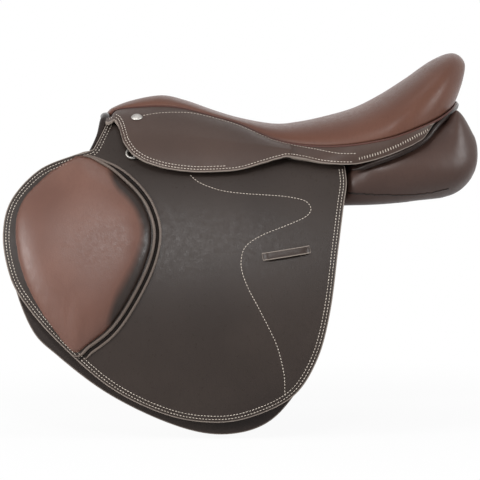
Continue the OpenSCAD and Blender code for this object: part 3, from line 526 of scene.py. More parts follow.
welt_d, skin_gap, skirt_t = 0.0038, 0.0003, 0.0035
piping_leather = leather("piping_leather", (0.088, 0.036, 0.028), (0.06, 0.025, 0.02), dark_dye, 0.34, 1400.0)
for side in ("left", "right"):
    path = [edge_in(0.3 + 16.7 * k / 240, -0.0016) + Vector((0, 0, -0.0006)) for k in range(241)]
    if side == "right":
        path = [across(p) for p in path]
    welt = rolled(f"{side}_piping", path, 0.0033, 0.0033, piping_leather, "welt_leather",
                  taper=lambda share: mix(0.62, 1.0, eased(share, 0.2, 0.55)))
    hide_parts(f"{side}_seat_welt")
    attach(welt, "saddle")

# The lower edge of the skirt in side view, lobe and rear strip, front to back.
hem = [Vector(p) for p in (
    (-0.232, 0.1042), (-0.2275, 0.1043), (-0.2205, 0.1072), (-0.2151, 0.0996), (-0.2084, 0.0797), (-0.1965, 0.0636),
    (-0.1796, 0.053), (-0.154, 0.045), (-0.1205, 0.0406), (-0.0907, 0.0406), (-0.0576, 0.0434), (-0.0216, 0.0533),
    (-0.0038, 0.0583), (0.0024, 0.06), (0.0216, 0.0577), (0.048, 0.052), (0.0782, 0.0497), (0.0989, 0.0515),
    (0.131, 0.0606), (0.1642, 0.0742), (0.1872, 0.0879), (0.204, 0.105), (0.216, 0.1141),
    (0.228, 0.1242), (0.24, 0.134))]


def place_on(row, x):
    """Where x lies on a row of points: the number of the point before it, and the share on to the next."""
    i = max(0, min(len(row) - 2, sum(1 for p in row if p.x <= x) - 1))
    return i, max(0.0, min(1.0, (x - row[i].x) / max(1e-6, row[i + 1].x - row[i].x)))


def hem_height(x):
    return through([p.y for p in hem], sum(place_on(hem, x)))


roll_d = 1.8 * welt_d
path = []
for k in range(79):
    t = 10.3 + 6.7 * k / 78
    e = edge_in(t, -skirt_t / 2)
    back = eased(t, 12.9, 14.8)
    high = mix(min(hem_height(e.x), e.z - welt_d) - 0.0006, e.z - 0.0004, back)
    path.append(Vector((e.x, e.y, high - roll_d / 2 - 0.003 * (1 - eased(t, 10.3, 11.6)))))
roll_path = path[:]
path += [across(p) for p in reversed(path)]
cantle_roll = rolled("cantle_roll", path, roll_d, roll_d, welt_leather, "welt_leather", taper=thinned(0.3, 0.05))
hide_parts("cantle_welt")
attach(cantle_roll, "saddle")


# Panels: soft hide stuffed with flock, one each side of the gullet, deep at the rear gusset.
# The outer seam runs low along each; the lining of the gullet joins them over the channel.
side_y0, side_z0, barrel_r = 0.4562, -0.287, 0.64
flap_w = 0.44
flap_rear = 0.182 * flap_w


def beside(r, z):
    """Y of the near side's layer of radius r at height z."""
    return side_y0 - math.sqrt(r * r - (z - side_z0) ** 2)


panel_l, panel_w, panel_h, panel_face, panel_swell = 0.492, 0.112, 0.122, 0.11, 0.076
panel_round = 0.714
panel_x = [0, 0.01, 0.047, 0.118, 0.28, 0.484, 0.646, 0.728, 0.829, 0.921, 0.967, 0.992, 1]
panel_y = [0.59, 0.598, 0.625, 0.652, 0.661, 0.652, 0.67, 0.687, 0.687, 0.616, 0.59, 0.58, 0.58]
panel_z = [0.38, 0.375, 0.355, 0.345, 0.325, 0.248, 0.28, 0.335, 0.395, 0.44, 0.48, 0.51, 0.52]
panel_faces = [0.3, 0.66, 0.83, 0.87, 0.9, 0.855, 0.836, 0.855, 0.873, 0.84, 0.69, 0.42, 0.18]
panel_swells = [0.15, 0.34, 0.47, 0.53, 0.55, 0.5, 0.62, 0.83, 1, 1, 0.79, 0.47, 0.2]
panel_tilts = [55, 54, 52, 50, 42, 33, 33, 38, 48, 60, 65, 65, 65]


def panel_frame(t):
    """Middle of the panel's section at station t, and its half vectors along the face and out of it."""
    tilt = math.radians(through(panel_tilts, t))
    middle = Vector((-0.484 * panel_l + panel_l * through(panel_x, t), -panel_w * through(panel_y, t),
                     panel_h * through(panel_z, t)))
    along = Vector((0, -math.cos(tilt), -math.sin(tilt))) * panel_face / 2 * through(panel_faces, t)
    out = Vector((0, -math.sin(tilt), math.cos(tilt))) * panel_swell / 2 * through(panel_swells, t)
    return middle, along, out


def held_in(p):
    """A point held inside the barrel where the sweat flap lies on the panel."""
    free = max(0.0, min(1.0, (p.x - flap_rear) / (panel_l * 0.1)))
    q = Vector((0, p.y - side_y0, p.z - side_z0))
    q *= min(1.0, (barrel_r + free * panel_w) / q.length)
    return Vector((p.x, side_y0 + q.y, side_z0 + q.z))


def panel_point(t, angle):
    middle, along, out = panel_frame(t)
    c, s = bowed(angle, panel_round)
    return held_in(middle + along * c + out * s)


panel_leather = leather("panel_leather", (0.056, 0.03, 0.023), (0.041, 0.021, 0.016), dark_dye, 0.35, 850.0, shine=0.3)
stations, turns = 120, 80


def roll_at(x):
    i, share = place_on(roll_path, x)
    return mix(roll_path[i], roll_path[i + 1], share)


roll_sink, roll_reach = 0.0028, 0.012
crest_x, crest_step = 0.224, 0.005
crest_row = [0.129, 0.1225, 0.114, 0.1055, 0.0965, 0.084, 0.066]


def panel_ring(t):
    """A section of the panel; behind the flap its outer face swells out and up to the roll above it."""
    ring = [panel_point(t, 2 * math.pi * j / turns) for j in range(turns + 1)]
    middle = panel_frame(t)[0]
    roll = roll_at(middle.x)
    share = eased(middle.x, 0.088, 0.116) * (1 - eased(middle.x, 0.222, 0.232))
    crest = through(crest_row, max(0.0, min(6.0, (middle.x - crest_x) / crest_step)))
    top = max([p.z for p in ring if p.y < min(middle.y, roll.y + roll_reach)] or [middle.z])
    for p in ring:
        if p.y < middle.y:
            p.z += share * eased(p.z, middle.z - 0.01, max(top, middle.z + 0.005)) * max(0.0, roll.z - roll_sink - top)
            p.y = mix(p.y, min(p.y, roll.y + 0.0015), share * eased(p.z, roll.z - 0.05, roll.z - 0.006))
            if p.y < roll.y + roll_reach:
                p.z = mix(p.z, min(p.z, roll.z - roll_sink), share)
    top = max(p.z for p in ring)
    for p in ring:
        p.z += eased(middle.x, 0.214, 0.224) * eased(p.z, middle.z - 0.01, top) * max(0.0, crest - top)
    return ring


rings = [panel_ring(12 * k / stations) for k in range(stations + 1)]
bm = grid(stations, turns, lambda u, v: rings[round(u * stations)][round(v * turns)])
close(bm)
for turn in range(8):
    bmesh.ops.smooth_vert(bm, verts=[v for v in bm.verts if v.co.x > 0.09], factor=0.5, use_axis_x=False,
                          use_axis_y=True, use_axis_z=True)


def as_shown(made):
    """The mesh of an object with its modifiers applied, and the modifiers gone."""
    made.data = bpy.data.meshes.new_from_object(made.evaluated_get(bpy.context.evaluated_depsgraph_get()))
    made.modifiers.clear()


cloth_pressure, cloth_stretch, cloth_shear = 4.0, 3.0, 2.0
cloth_steps, settle_turns = 20, 5


def puffed(name, bm, voxel, turns, shrink, cap, held, finish, slot):
    """A padded piece: evenly remeshed, smoothed, drawn in, then swollen by a short cloth run, up to a cap.
    held(point) is 1 where the hide is fixed and 0 where it is free."""
    made = piece(name, bm, finish, slot)
    even = made.modifiers.new("even", "REMESH")
    even.mode = "VOXEL"
    even.voxel_size = voxel
    made.modifiers.new("ease", "SMOOTH").iterations = turns
    as_shown(made)
    pins = made.vertex_groups.new(name="held")
    for vert in made.data.vertices:
        fixed = held(vert.co)
        pins.add([vert.index], fixed, "REPLACE")
        vert.co -= vert.normal * shrink * (1 - fixed)
    start = [vert.co.copy() for vert in made.data.vertices]
    cloth = made.modifiers.new("swell", "CLOTH")
    soft = cloth.settings
    soft.use_pressure = True
    soft.uniform_pressure_force = cloth_pressure
    soft.effector_weights.gravity = 0.0
    soft.vertex_group_mass = "held"
    soft.tension_stiffness = soft.compression_stiffness = cloth_stretch
    soft.shear_stiffness = cloth_shear
    cloth.point_cache.frame_end = cloth_steps
    for step in range(1, cloth_steps + 1):
        scene.frame_set(step)
    as_shown(made)
    scene.frame_set(1)
    for vert, was in zip(made.data.vertices, start):
        move = vert.co - was
        vert.co = was + move * min(1.0, cap / max(1e-9, move.length))
    made.modifiers.new("settle", "SMOOTH").iterations = settle_turns
    finer = made.modifiers.new("finer", "SUBSURF")
    finer.levels = finer.render_levels = 1
    as_shown(made)
    made.data.shade_smooth()
    return made


near_roll = tree_of(roll_path)


def panel_held(p):
    """Held in front, where it lies under the sweat flap, and along the roll it is sewn to."""
    depth = barrel_r - math.hypot(p.y - side_y0, p.z - side_z0)
    under = (1 - eased(depth, 0.004, 0.012)) * (1 - eased(p.x, 0.075, 0.11))
    return max(1 - eased(p.x, 0.03, 0.06), under, 1 - eased(near_roll.find(p)[2], 0.004, 0.016))


near = puffed("left_stuffed_panel", bm, 0.005, 5, 0.0, 0.005, panel_held, panel_leather, "panel_leather")
for vert in near.data.vertices:
    vert.co = held_in(vert.co)
    sag = eased(vert.co.x, 0.03, 0.07) * (1 - eased(vert.co.x, 0.09, 0.19))
    vert.co.z -= 0.0045 * sag * (1 - eased(vert.co.z, -0.005, 0.03))
for panel, side in both(near):
    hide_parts(f"{side}_panel")
    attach(panel, "saddle")

seam_row = [Vector(p) for p in ((0.083, 0.0128), (0.108, 0.0114), (0.145, 0.0103), (0.1826, 0.0115), (0.2136, 0.018))]
panel_tree = BVHTree.FromObject(near, bpy.context.evaluated_depsgraph_get())
path = []
for goal in line_through(seam_row, 12):
    t = min((step / 20 for step in range(241)), key=lambda step: abs(panel_frame(step)[0].x - goal.x))
    angles = [math.radians(a) for a in range(-60, 61)]
    place = min((panel_point(t, a) for a in angles), key=lambda p: abs(p.z - goal.y))
    path.append(panel_tree.ray_cast(place - Vector((0, 0.05, 0)), Vector((0, 1, 0)))[0] or place)
near = rolled("left_panel_seam", path, 0.002, 0.002, welt_leather, "welt_leather", 8)
for seam, side in both(near):
    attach(seam, "saddle")


def lining_at(u, v):
    middle, along, out = panel_frame(mix(3.4, 9.4, u))
    p, s = held_in(middle - along), 2 * v - 1
    return Vector((p.x, -s * (p.y + 2 * skin_gap), p.z + 0.0041 * (1 - s * s) + 0.002))


def thicken(bm, thick, outward, cuts=None):
    """Turns a laid-out surface into hide of a thickness below its face, with its cut edges rounded."""
    bm.normal_update()
    if sum((f.normal * f.calc_area() for f in bm.faces), Vector()).dot(outward) < 0:
        bmesh.ops.reverse_faces(bm, faces=bm.faces[:])
        bm.normal_update()
    cuts = cuts or [vert.co.copy() for vert in bm.verts if vert.is_boundary]
    bmesh.ops.solidify(bm, geom=bm.faces[:], thickness=thick)
    round_rim(bm, thick * 0.28, tree_of(cuts))


bm = grid(36, 12, lining_at)
thicken(bm, 0.002, Vector((0, 0, 1)))
lining = piece("channel_lining", bm, panel_leather, "panel_leather")
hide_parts("gullet_lining")
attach(lining, "saddle")


# Sweat flaps: firm hide under each flap, sewn to the panel, showing as a border below and in front.
# Its edge is rounded and waxed.
def around(points, steps):
    """A smooth closed line through points."""
    n = len(points)
    row = [points[(i - 2) % n] for i in range(n + 5)]
    return [through(row, 2 + k / steps) for k in range(n * steps)]


def paced(points, count, closed):
    """Points at an even pace along a line."""
    line = points + [points[0]] if closed else points
    runs = [0.0]
    for a, b in zip(line, line[1:]):
        runs.append(runs[-1] + (b - a).length)
    out, i = [], 0
    for k in range(count):
        goal = runs[-1] * k / (count if closed else count - 1)
        while i < len(line) - 2 and runs[i + 1] < goal:
            i += 1
        out.append(mix(line[i], line[i + 1], (goal - runs[i]) / max(1e-9, runs[i + 1] - runs[i])))
    return out


def fan(outline, steps, lay):
    """A bmesh sheet from a middle out to a closed outline; lay(rim, step) gives each point's place."""
    n, last = len(outline), len(steps) - 1
    bm = grid(n, last, lambda u, v: lay(outline[round(u * n) % n], steps[round(v * last)]))
    bmesh.ops.remove_doubles(bm, verts=bm.verts[:], dist=1e-7)
    return bm


def cut_hide(outline, middle, lay, thick):
    """A bmesh of hide cut to a closed outline in side view and laid on its curve by lay(x, z)."""
    shares = [0, 0.2, 0.4, 0.55, 0.68, 0.78, 0.86, 0.92, 0.955, 0.98, 0.992, 1]
    bm = fan(outline, shares, lambda rim, share: lay(*mix(middle, rim, share)))
    thicken(bm, thick, Vector((0, -1, 0)))
    return bm


flap_drop = 0.275


def flap_at(share, height):
    return Vector((flap_rear - flap_w * share, height))


twist, where, colour, soiled = blank_group("thread_twist", ["Colour", "Colour soil"])
soil = spread(twist, noise(twist, 90.0, 3.0, where), 0.4, 0.7, 0.0, 1.0)
strands = add(twist, "ShaderNodeTexWave", [("Vector", where), ("Scale", 900.0), ("Distortion", 1.0)],
              bands_direction="DIAGONAL").outputs["Fac"]
gives(twist, colours(twist, colour, soiled, soil), spread(twist, strands, 0.0, 1.0, 0.75, 0.6), strands)
thread = new_finish("linen_thread", twist, [("Colour", (0.64, 0.57, 0.49, 1)), ("Colour soil", (0.5, 0.43, 0.36, 1))],
                    (0.3, 0.0003))


def sewn(name, rows, slot, long=0.0034, pitch=0.0041, wide=0.0011, slant=0.0):
    """Rows of stitches as one piece. Each row is a list of (point, outward normal) along a line."""
    bm = bmesh.new()
    for row in rows:
        points = [p for p, n in row]
        length = sum((b - a).length for a, b in zip(points, points[1:]))
        count = max(2, round(length / pitch))
        places = paced(points, count, False)
        tree = tree_of(points)
        for k in range(count - 1):
            at = (places[k] + places[k + 1]) / 2
            out = row[tree.find(at)[1]][1]
            way = (places[k + 1] - places[k]).normalized()
            side = out.cross(way).normalized()
            if slant:
                way = (way * math.cos(slant) + side * math.sin(slant)).normalized()
                side = out.cross(way).normalized()
            turn = Matrix((way, side, out)).transposed().to_4x4()
            size = Matrix.Diagonal((long / 2, wide / 2, wide * 0.42, 1.0))
            bmesh.ops.create_icosphere(bm, subdivisions=1, radius=1.0, matrix=Matrix.Translation(at) @ turn @ size)
    return piece(name, bm, thread, slot)


def side_out(z, r):
    """The way out of the near side's layer of radius r at height z."""
    tilt = math.asin((z - side_z0) / r)
    return Vector((0, -math.cos(tilt), math.sin(tilt)))


def side_row(points, r):
    """A row for stitches on the near side's layer of radius r, from points in side view."""
    return [(Vector((p.x, beside(r, p.y), p.y)), side_out(p.y, r)) for p in points]


def inset(line, depth):
    """A line in side view moved to the left of its way, in from an edge."""
    out, last = [], len(line) - 1
    for i, p in enumerate(line):
        way = (line[min(i + 2, last)] - line[max(i - 2, 0)]).normalized()
        out.append(p + Vector((-way.y, way.x)) * depth)
    return out


sweat_r = 0.6443
sweat_x = [0.723, 0.777, 0.875, 0.95, 0.973, 0.97, 0.914, 0.839, 0.707, 0.561, 0.427, 0.318, 0.227, 0.155, 0.095, 0.064,
           0.041, 0.023, 0.018, 0.091, 0.273, 0.455, 0.591, 0.67]
sweat_z = [0.29, 0.204, 0.126, 0, -0.158, -0.333, -0.547, -0.66, -0.811, -0.926, -0.993, -0.996, -0.944, -0.828, -0.667,
           -0.456, -0.211, 0, 0.098, 0.116, 0.126, 0.161, 0.218, 0.274]
sweat_line = around([flap_at(x, (flap_drop + 0.016) * z) for x, z in zip(sweat_x, sweat_z)], 16)
# The sweat flap's light edge colour is a painted highlight along its cut edge.
sweat_leather = leather("sweat_leather", (0.026, 0.019, 0.016), (0.02, 0.014, 0.012),
                        (0.16, 0.13, 0.11), 0.38, 900.0)
sweat_hide = cut_hide(paced(sweat_line, 320, True), Vector((-0.13, -0.06)),
                      lambda x, z: Vector((x, beside(sweat_r, z), z)), 0.004)
near = piece("left_under_flap", sweat_hide, sweat_leather, "sweat_leather")
for under, side in both(near):
    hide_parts(f"{side}_sweat_flap")
    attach(under, "saddle")


# Girth straps: three a side, bridle hide with a row of buckle holes, sewn to the webs.
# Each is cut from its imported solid, with rounded edges and a row of stitches down both sides.
strap_leather = leather("strap_leather", (0.05, 0.03, 0.022), (0.034, 0.02, 0.015),
                        (0.015, 0.009, 0.007), 0.38, 1300.0)
billet_r, strap_in = 0.6509, 0.0098
for i, which in enumerate(("front", "middle", "rear")):
    x = -0.0576 + (i - 1) * 0.05
    lines = [[Vector((x + s * strap_in, mix(0.031, -0.21, k / 60))) for k in range(61)] for s in (-1, 1)]
    lines.append([Vector((x + mix(-strap_in, strap_in, k / 6), 0.0205)) for k in range(7)])
    rows = [side_row(line, billet_r) for line in lines]
    near = sewn(f"left_{which}_strap_stitches", rows, "strap_leather")
    for side in ("left", "right"):
        strap = from_solid(f"{side}_{which}_strap", f"{side}_{which}_billet", strap_leather, "strap_leather", 0.0009)
        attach(strap, f"{side}_{which}_billet")
        stitches = near if side == "left" else off_side(near, f"right_{which}_strap_stitches")
        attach(stitches, f"{side}_{which}_billet")


# Flaps: one sheet of firm hide each side, nailed to the tree by its head and cut out round the stirrup bar.
# It folds just below the skirt. Two rows follow its edge, and one long curved row ornaments it.
flap_r = 0.6562
flap_x = [0.8, 0.902, 0.981, 1.002, 0.982, 0.941, 0.845, 0.689, 0.525, 0.382, 0.266, 0.155, 0.089, 0.052, 0.027,
          0.009, 0, 0.0035]
flap_z = [0.225, 0.156, 0.016, -0.142, -0.316, -0.44, -0.618, -0.836, -0.964, -1, -0.967, -0.873, -0.709, -0.495,
          -0.211, -0.005, 0.09, 0.166]
flap_edge = line_through([flap_at(x, flap_drop * z) for x, z in zip(flap_x, flap_z)], 16)
flap_head = [Vector(p) for p in (
    (0.0783, 0.0481), (0.0202, 0.055), (-0.06, 0.0675), (-0.0918, 0.0528), (-0.1674, 0.0528),
    (-0.2075, 0.0985), (-0.219, 0.1046), (-0.2302, 0.105), (-0.2389, 0.0861), (-0.2478, 0.0688), (-0.2618, 0.0638))]
# The flap's cut edges get a painted highlight as their edge colour.
flap_leather = leather("flap_leather", (0.034, 0.025, 0.021), (0.026, 0.019, 0.016), painted_edge_highlight, 0.3, 900.0)


def on_flap(x, z, lift=0.0):
    return Vector((x, beside(flap_r + lift, z), z))


flap_hide = cut_hide(paced(flap_edge + flap_head, 440, True), Vector((-0.13, -0.05)), on_flap, 0.0045)
near = piece("left_saddle_flap", flap_hide, flap_leather, "flap_leather")


def downward(axis, out):
    """The way down a hide from its fold."""
    way = axis.cross(out).normalized()
    return -way if way.z > 0 else way


lift_at = Vector((-0.09284, -0.115553, 0.035927))
lift_down = downward(Vector((-0.983827, 0.088088, 0.155963)), Vector((0, -0.8705, 0.4922)))


def bend(made, side, at, down, above, below):
    """Bakes a piece's transform into its mesh; the two ends of its fold, a few millimetres either side of at and
    mirrored for the off side, are worked out but not used, so the piece does not bend.
    """
    ends = (at - down * above, at + down * below)
    if side == "right":
        ends = [across(p) for p in ends]
    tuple(ends[0])
    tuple(ends[1])
    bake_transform(made)


def fold_flap(made, side):
    bend(made, side, lift_at, lift_down, 0.006, 0.005)


for flap, side in both(near):
    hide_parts(f"{side}_flap_head", f"{side}_flap")
    fold_flap(flap, side)


picture_wide = 480
picture_middle, pixel = picture_wide / 2, view_wide / picture_wide


def in_picture(px, py, y):
    """X and Z, at a distance y from the mid-plane, of a place in the picture's 480 by 480 frame."""
    s = pixel * (look_from + y) / look_from
    return Vector((look_at.x + (px - picture_middle) * s,
                   look_at.z + (picture_middle - py) * s - y * math.tan(look_down)))


def seen_at(px, py):
    """The point of the flap, in side view, that lies at a place in the picture."""
    y = -0.15
    for turn in range(4):
        at = in_picture(px, py, y)
        y = beside(flap_r, at.y)
    return at


curl = [(190, 174.7), (198, 181.7), (211, 187.4), (224, 191), (243, 193.4), (262, 194.7), (281, 196), (298, 198.6),
        (307, 202), (311, 208.5), (308, 215), (298, 220.6), (281, 227.6), (264.6, 234), (252, 241), (244, 249),
        (241, 262), (243, 275), (249, 290), (258, 307), (269, 328.5), (277, 346), (282, 364),
        (284.6, 379.5), (285, 397)]
curl_line = line_through([seen_at(*p) for p in curl], 8)
edge_rows = [inset(flap_edge, depth)[2:-1] for depth in (0.004, 0.008)]
head_front = line_through(flap_head[-4:], 8)
edge_rows += [inset(head_front, depth)[1:] for depth in (0.0032, 0.0068)]
near = sewn("left_flap_stitches", [side_row(row, flap_r) for row in edge_rows + [curl_line]], "flap_leather")
for stitches, side in both(near):
    fold_flap(stitches, side)


# Knee pads: a block of foam under smooth hide on the front of each flap, puffed out from a sewn border.
# A double roll closes the pad along its rear edge, with a groove between its two cords. A near-black strip laid in the
# groove is painted shade, and the cords' light tan is in part a painted highlight.
knee_x = [0.772, 0.705, 0.657, 0.616, 0.584, 0.566, 0.582, 0.63, 0.686, 0.75, 0.791, 0.861, 0.918, 0.955, 0.968, 0.955,
          0.911, 0.841]
knee_z = [0.218, 0.171, 0.109, 0.047, -0.029, -0.138, -0.273, -0.433, -0.564, -0.647, -0.684, -0.556, -0.415, -0.265,
          -0.12, -0.007, 0.084, 0.171]
knee_line = around([flap_at(x, flap_drop * z) for x, z in zip(knee_x, knee_z)], 12)
knee_middle = flap_at(0.775, -0.18 * flap_drop)
knee_swell, knee_free = 0.02, 0.6
# The knee leather's near-black edge colour is the painted shade on the pad's rear flank.
knee_leather = leather("knee_leather", (0.155, 0.076, 0.056), (0.11, 0.051, 0.037), (0.02, 0.012, 0.009), 0.34, 950.0,
                       shine=0.32)


def knee_pad(swell):
    """A closed pad, its back sunk in the flap, with a crown that falls gently in front and steeply behind."""
    back = [0, 0.3, 0.55, 0.75, 0.9, 1.0]
    front = [1.0, 0.985, 0.96, 0.92, 0.87, 0.81, 0.74, 0.66, 0.57, 0.47, 0.36, 0.24, 0.12, 0]
    steps = [(s, 0.0) for s in back] + [(s, swell) for s in front]

    def lay(rim, step):
        s, high = step
        power = mix(2.2, 6.0, eased(rim.x - knee_middle.x, -0.03, 0.06))
        lift = high * (0.1 + 0.9 * max(0.0, 1 - s ** power) ** 0.55) if high else -0.01
        return on_flap(*mix(knee_middle, rim, s), lift)

    bm = fan(paced(knee_line, 160, True), steps, lay)
    bmesh.ops.recalc_face_normals(bm, faces=bm.faces[:])
    return bm


def off_flap(p):
    """How far a point stands off the flap's face."""
    return math.hypot(p.y - side_y0, p.z - side_z0) - flap_r


near = puffed("left_knee_block", knee_pad(knee_swell * 0.85), 0.004, 12, 0.001, 0.006,
              lambda p: 1 - eased(off_flap(p), 0.001, 0.004), knee_leather, "knee_leather")
# The pad's rear flank is marked with the rim attribute, so that the edge colour darkens it: painted shade where the
# flank turns away from the light, partly standing for an antiqued edge dye.
knee_rear = [knee_line[k % len(knee_line)] for k in range(122)]
rear_tree = tree_of([(place.x, 0.0, place.y) for place in knee_rear])
edge_dye_and_painted_light = near.data.attributes.new("rim", "FLOAT", "POINT")
for vert, shade in zip(near.data.vertices, edge_dye_and_painted_light.data):
    at = Vector((0.0, vert.co.y - side_y0, vert.co.z - side_z0))
    high = max(off_flap(vert.co), skin_gap)
    if high > knee_swell * knee_free:
        rest = 1 - knee_free
        high = knee_swell * (1 - rest * math.exp((knee_free - high / knee_swell) / rest))
    at *= (flap_r + high) / at.length
    vert.co = Vector((vert.co.x, side_y0 + at.y, side_z0 + at.z))
    shade_band = mix(0.023, 0.036, eased(knee_middle.y - vert.co.z, -0.05, 0.09))
    rear_flank_shade = 1 - eased(rear_tree.find((vert.co.x, 0.0, vert.co.z))[2], 0.003, shade_band)
    shade.value = eased(vert.co.x - knee_middle.x, 0.0, 0.05) * mix(0.5, 0.86, rear_flank_shade)
for pad, side in both(near):
    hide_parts(f"{side}_knee_pad")
    fold_flap(pad, side)

# A near-black, matt strip in the groove between the cords: painted shade.
groove_painted_shade = leather("groove_painted_shade", (0.01, 0.007, 0.006), (0.008, 0.006, 0.005),
                         (0.01, 0.007, 0.006), 0.85, 900.0)
# The cords' light tan is partly their leather's colour and partly a painted highlight.
lip_tan_and_painted_highlight = leather("lip_tan_and_painted_highlight", (0.15, 0.118, 0.1), (0.11, 0.086, 0.072), (0.15, 0.118, 0.1), 0.28, 1400.0)


def on_side(place, way):
    """The ways across and up for a roll that lies on the flap."""
    out = side_out(place.z, flap_r)
    return out.cross(way).normalized(), out


for name, depth, wide, deep, finish in (("knee_roll", 0.0022, 0.004, 0.0042, lip_tan_and_painted_highlight),
                                        ("knee_groove_painted_shade", 0.0062, 0.0046, 0.001, groove_painted_shade),
                                        ("knee_lip", 0.01, 0.0034, 0.003, lip_tan_and_painted_highlight)):
    line = [mix(a, b, mix(0.15, 1.0, eased(i, 0, 26)))
            for i, (a, b) in enumerate(zip(knee_rear, inset(knee_rear, depth)))]
    path = [on_flap(p.x, p.y, deep * 0.35) for p in line[:len(line) - round(600 * depth)]]
    near = rolled(f"left_{name}", path, wide, deep, finish, "welt_leather", 10,
                  thinned(0.4, 8 / (len(path) - 1)), on_side)
    for roll, side in both(near):
        fold_flap(roll, side)


# Surcingle keepers: a narrow strap loop low on each flap, its ends tucked through two slits.
# It slants a little, stands clear of the flap between the slits, and moves with it.
keeper_at = flap_at(0.178, -0.226 * flap_drop)
keeper_l, keeper_w, keeper_slant = 0.063, 0.01, math.radians(9.0)


def keeper_place(u, v):
    u, v = 2 * u - 1, 2 * v - 1
    x = keeper_at.x + u * keeper_l / 2 * math.cos(keeper_slant) - v * keeper_w / 2 * math.sin(keeper_slant)
    z = keeper_at.y + u * keeper_l / 2 * math.sin(keeper_slant) + v * keeper_w / 2 * math.cos(keeper_slant)
    return on_flap(x, z, 0.0052 * (1 - abs(u) ** 7) - 0.0004 - 0.0004 * v * v)


bm = grid(40, 6, keeper_place)
thicken(bm, 0.00175, Vector((0, -1, 0)))
# The keeper's light edge colour is a painted highlight along its cut edges.
keeper_leather = leather("keeper_leather", (0.046, 0.033, 0.028), (0.034, 0.024, 0.02),
                         (0.26, 0.22, 0.19), 0.3, 1300.0)
near = piece("left_strap_loop", bm, keeper_leather, "strap_leather")
for loop, side in both(near):
    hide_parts(f"{side}_keeper")
    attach(loop, f"{side}_flap")


# Skirts: a piece of hide each side, sewn into the seat's seam and nailed at its head.
# In front it bulges over the stirrup bar as a lobe that lifts; behind it runs as a strip to the cantle.
# The skirt's cut edges get a painted highlight as their edge colour.
skirt_leather = leather("skirt_leather", (0.064, 0.041, 0.033), (0.05, 0.032, 0.026), painted_edge_highlight, 0.4, 900.0)
lobe_y0, lobe_z0, lobe_r = -0.0058, 0.0085, 0.1235
fold_from, fold_to = (-0.22416, 0.10302), (0.0096, 0.06868)


def lobe_side(z):
    return lobe_y0 - math.sqrt(max(0.0, lobe_r ** 2 - (z - lobe_z0) ** 2))


def skirt_edge(t, depth):
    """The seat's edge where the skirt is sewn; ahead of it, below 0, the line runs on round the pommel's lip."""
    return edge_in(max(t, 0.0), depth) + Vector((0.01, -0.01, 0.0)) * min(t, 0.0)


def skirt_at(t, k):
    """A point of the skirt's face: t along the seat's edge, k from the seam (0) to the lower edge (1)."""
    e = skirt_edge(t, -skin_gap)
    top = e + Vector((0, -skirt_t, -0.0017))
    if k < 0:
        return mix(top, skirt_edge(t, 0.005) + Vector((0, 0, 0.0015)), -10 * k)
    low = mix(min(hem_height(e.x), e.z - welt_d), top.z - 0.0005, eased(t, 13.1, 13.9))
    share = (e.x - fold_from[0]) / (fold_to[0] - fold_from[0])
    fold = max(low, min(mix(fold_from[1], fold_to[1], share), e.z - welt_d)) if share < 1 else low
    foot = Vector((e.x, min(lobe_side(fold), e.y - skirt_t), fold))
    z = mix(top.z, low, k)
    if z >= fold:
        m = (top.z - z) / max(1e-6, top.z - fold)
        run = foot - top
        out = Vector((0, run.z, -run.y)).normalized()
        return mix(top, foot, m) + out * run.length * 0.06 * math.sin(math.pi * m)
    return Vector((e.x, min(lobe_side(z), foot.y + 0.02), z))


skirt_t0, skirt_t1 = -0.6, 13.88
bm = grid(220, 33, lambda u, v: skirt_at(mix(skirt_t0, skirt_t1, u), mix(-0.1, 1.0, v)))
skirt_hem = [skirt_at(mix(skirt_t0, skirt_t1, k / 440), 1.0) for k in range(441)]
thicken(bm, skirt_t, Vector((0, -1, 0)), skirt_hem)
near = piece("left_saddle_skirt", bm, skirt_leather, "skirt_leather")
skirt_lift_at = Vector((-0.10776, -0.101356, 0.087238))
skirt_down = downward(Vector((-0.982396, 0.118624, 0.144317)), Vector((0, -0.779, 0.627)))


def fold_skirt(made, side):
    bend(made, side, skirt_lift_at, skirt_down, 0.006, 0.006)


for skirt, side in both(near):
    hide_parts(f"{side}_skirt_top", f"{side}_skirt")
    fold_skirt(skirt, side)


def skirt_row(places):
    """A row for stitches on the skirt, from (t, k) places on it."""
    row = []
    for t, k in places:
        a = skirt_at(t + 0.05, k) - skirt_at(t - 0.05, k)
        b = skirt_at(t, min(1.0, k + 0.03)) - skirt_at(t, max(0.0, k - 0.03))
        out = a.cross(b).normalized()
        row.append((skirt_at(t, k), out if out.y < 0 else -out))
    return row


def skirt_on(p):
    """The (t, k) of the skirt at a point in side view."""
    t0, t1, k0, k1 = skirt_t0, skirt_t1, 0.02, 1.0
    for turn in range(22):
        t = (t0 + t1) / 2
        t0, t1 = (t, t1) if skirt_edge(t, -skin_gap).x < p.x else (t0, t)
    for turn in range(22):
        k = (k0 + k1) / 2
        k0, k1 = (k, k1) if skirt_at(t, k).z > p.y else (k0, k)
    return Vector((t, k))


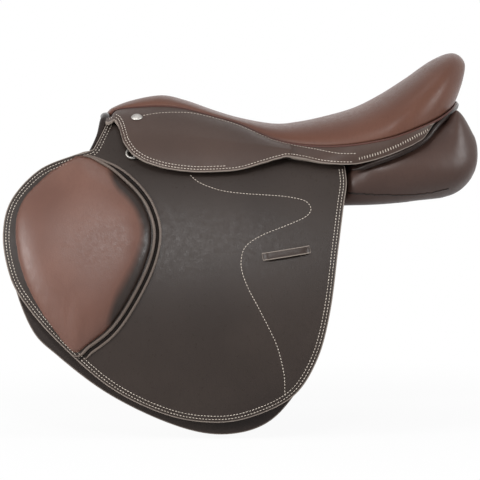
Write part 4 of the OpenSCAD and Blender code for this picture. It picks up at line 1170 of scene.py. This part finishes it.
def skirt_seen(px, py):
    """The (t, k) of the skirt that lies at a place in the picture."""
    y = -0.1
    for turn in range(4):
        at = skirt_on(in_picture(px, py, y))
        y = skirt_at(*at).y
    return at


upper = [skirt_seen(*p) for p in ((143, 115.6), (158, 113.2), (177, 112.4), (197, 114), (218, 118.4), (245, 128),
                                  (268, 136), (290, 143), (313, 148.6), (336, 153), (356, 153.4))]
upper = line_through(upper, 10)
ladder = [skirt_seen(*p) for p in ((358, 159), (366, 157), (378, 153.5), (402, 143.5), (419, 134.5), (428, 129.2))]
ladder = line_through(ladder, 10)
side_hem = paced([Vector((p.x, p.z)) for p in skirt_hem], 400, False)
lines = [[p for p in inset(side_hem, depth) if low < p.x < high]
         for depth, low, high in ((0.0034, -0.229, 0.088), (0.0068, -0.2225, -0.075))]
rows = [[skirt_on(p) for p in line] for line in lines] + [upper]
near = sewn("left_skirt_stitches", [skirt_row(row) for row in rows], "skirt_leather")
for stitches, side in both(near):
    fold_skirt(stitches, side)
near = sewn("left_skirt_ladder", [skirt_row(ladder)], "skirt_leather", 0.0046, 0.0034, 0.0011, math.radians(84.0))
for stitches, side in both(near):
    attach(stitches, "saddle")


# Pommel facing: a padded band of hide down the front of the flap heads and over the head of the tree.
# It is thinner at both ends.
face = [Vector(p) for p in ((-0.251, 0.067), (-0.2442, 0.08), (-0.2392, 0.0905), (-0.2362, 0.099),
                            (-0.2345, 0.105))]
path = [Vector((p.x, beside(0.6504, p.y), p.y)) for p in line_through(face, 4)]
crest = [Vector((-0.2335, -0.05, 0.1098)), Vector((-0.235, -0.028, 0.1112)), Vector((-0.237, 0.0, 0.1105))]
path += line_through([path[-1]] + crest, 4)[1:]
path += [across(p) for p in reversed(path[:-1])]
facing = rolled("front_facing", path, 0.013, 0.01, welt_leather, "welt_leather", 16, taper=thinned(0.35, 0.26))
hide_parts("pommel_facing")
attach(facing, "saddle")


# Saddle nails, dees and staples: nickel-plated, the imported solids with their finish.
# The dees swing in their staples.
dress(nickel, "saddle_nails", "left_dee", "right_dee", "left_dee_staple", "right_dee_staple")
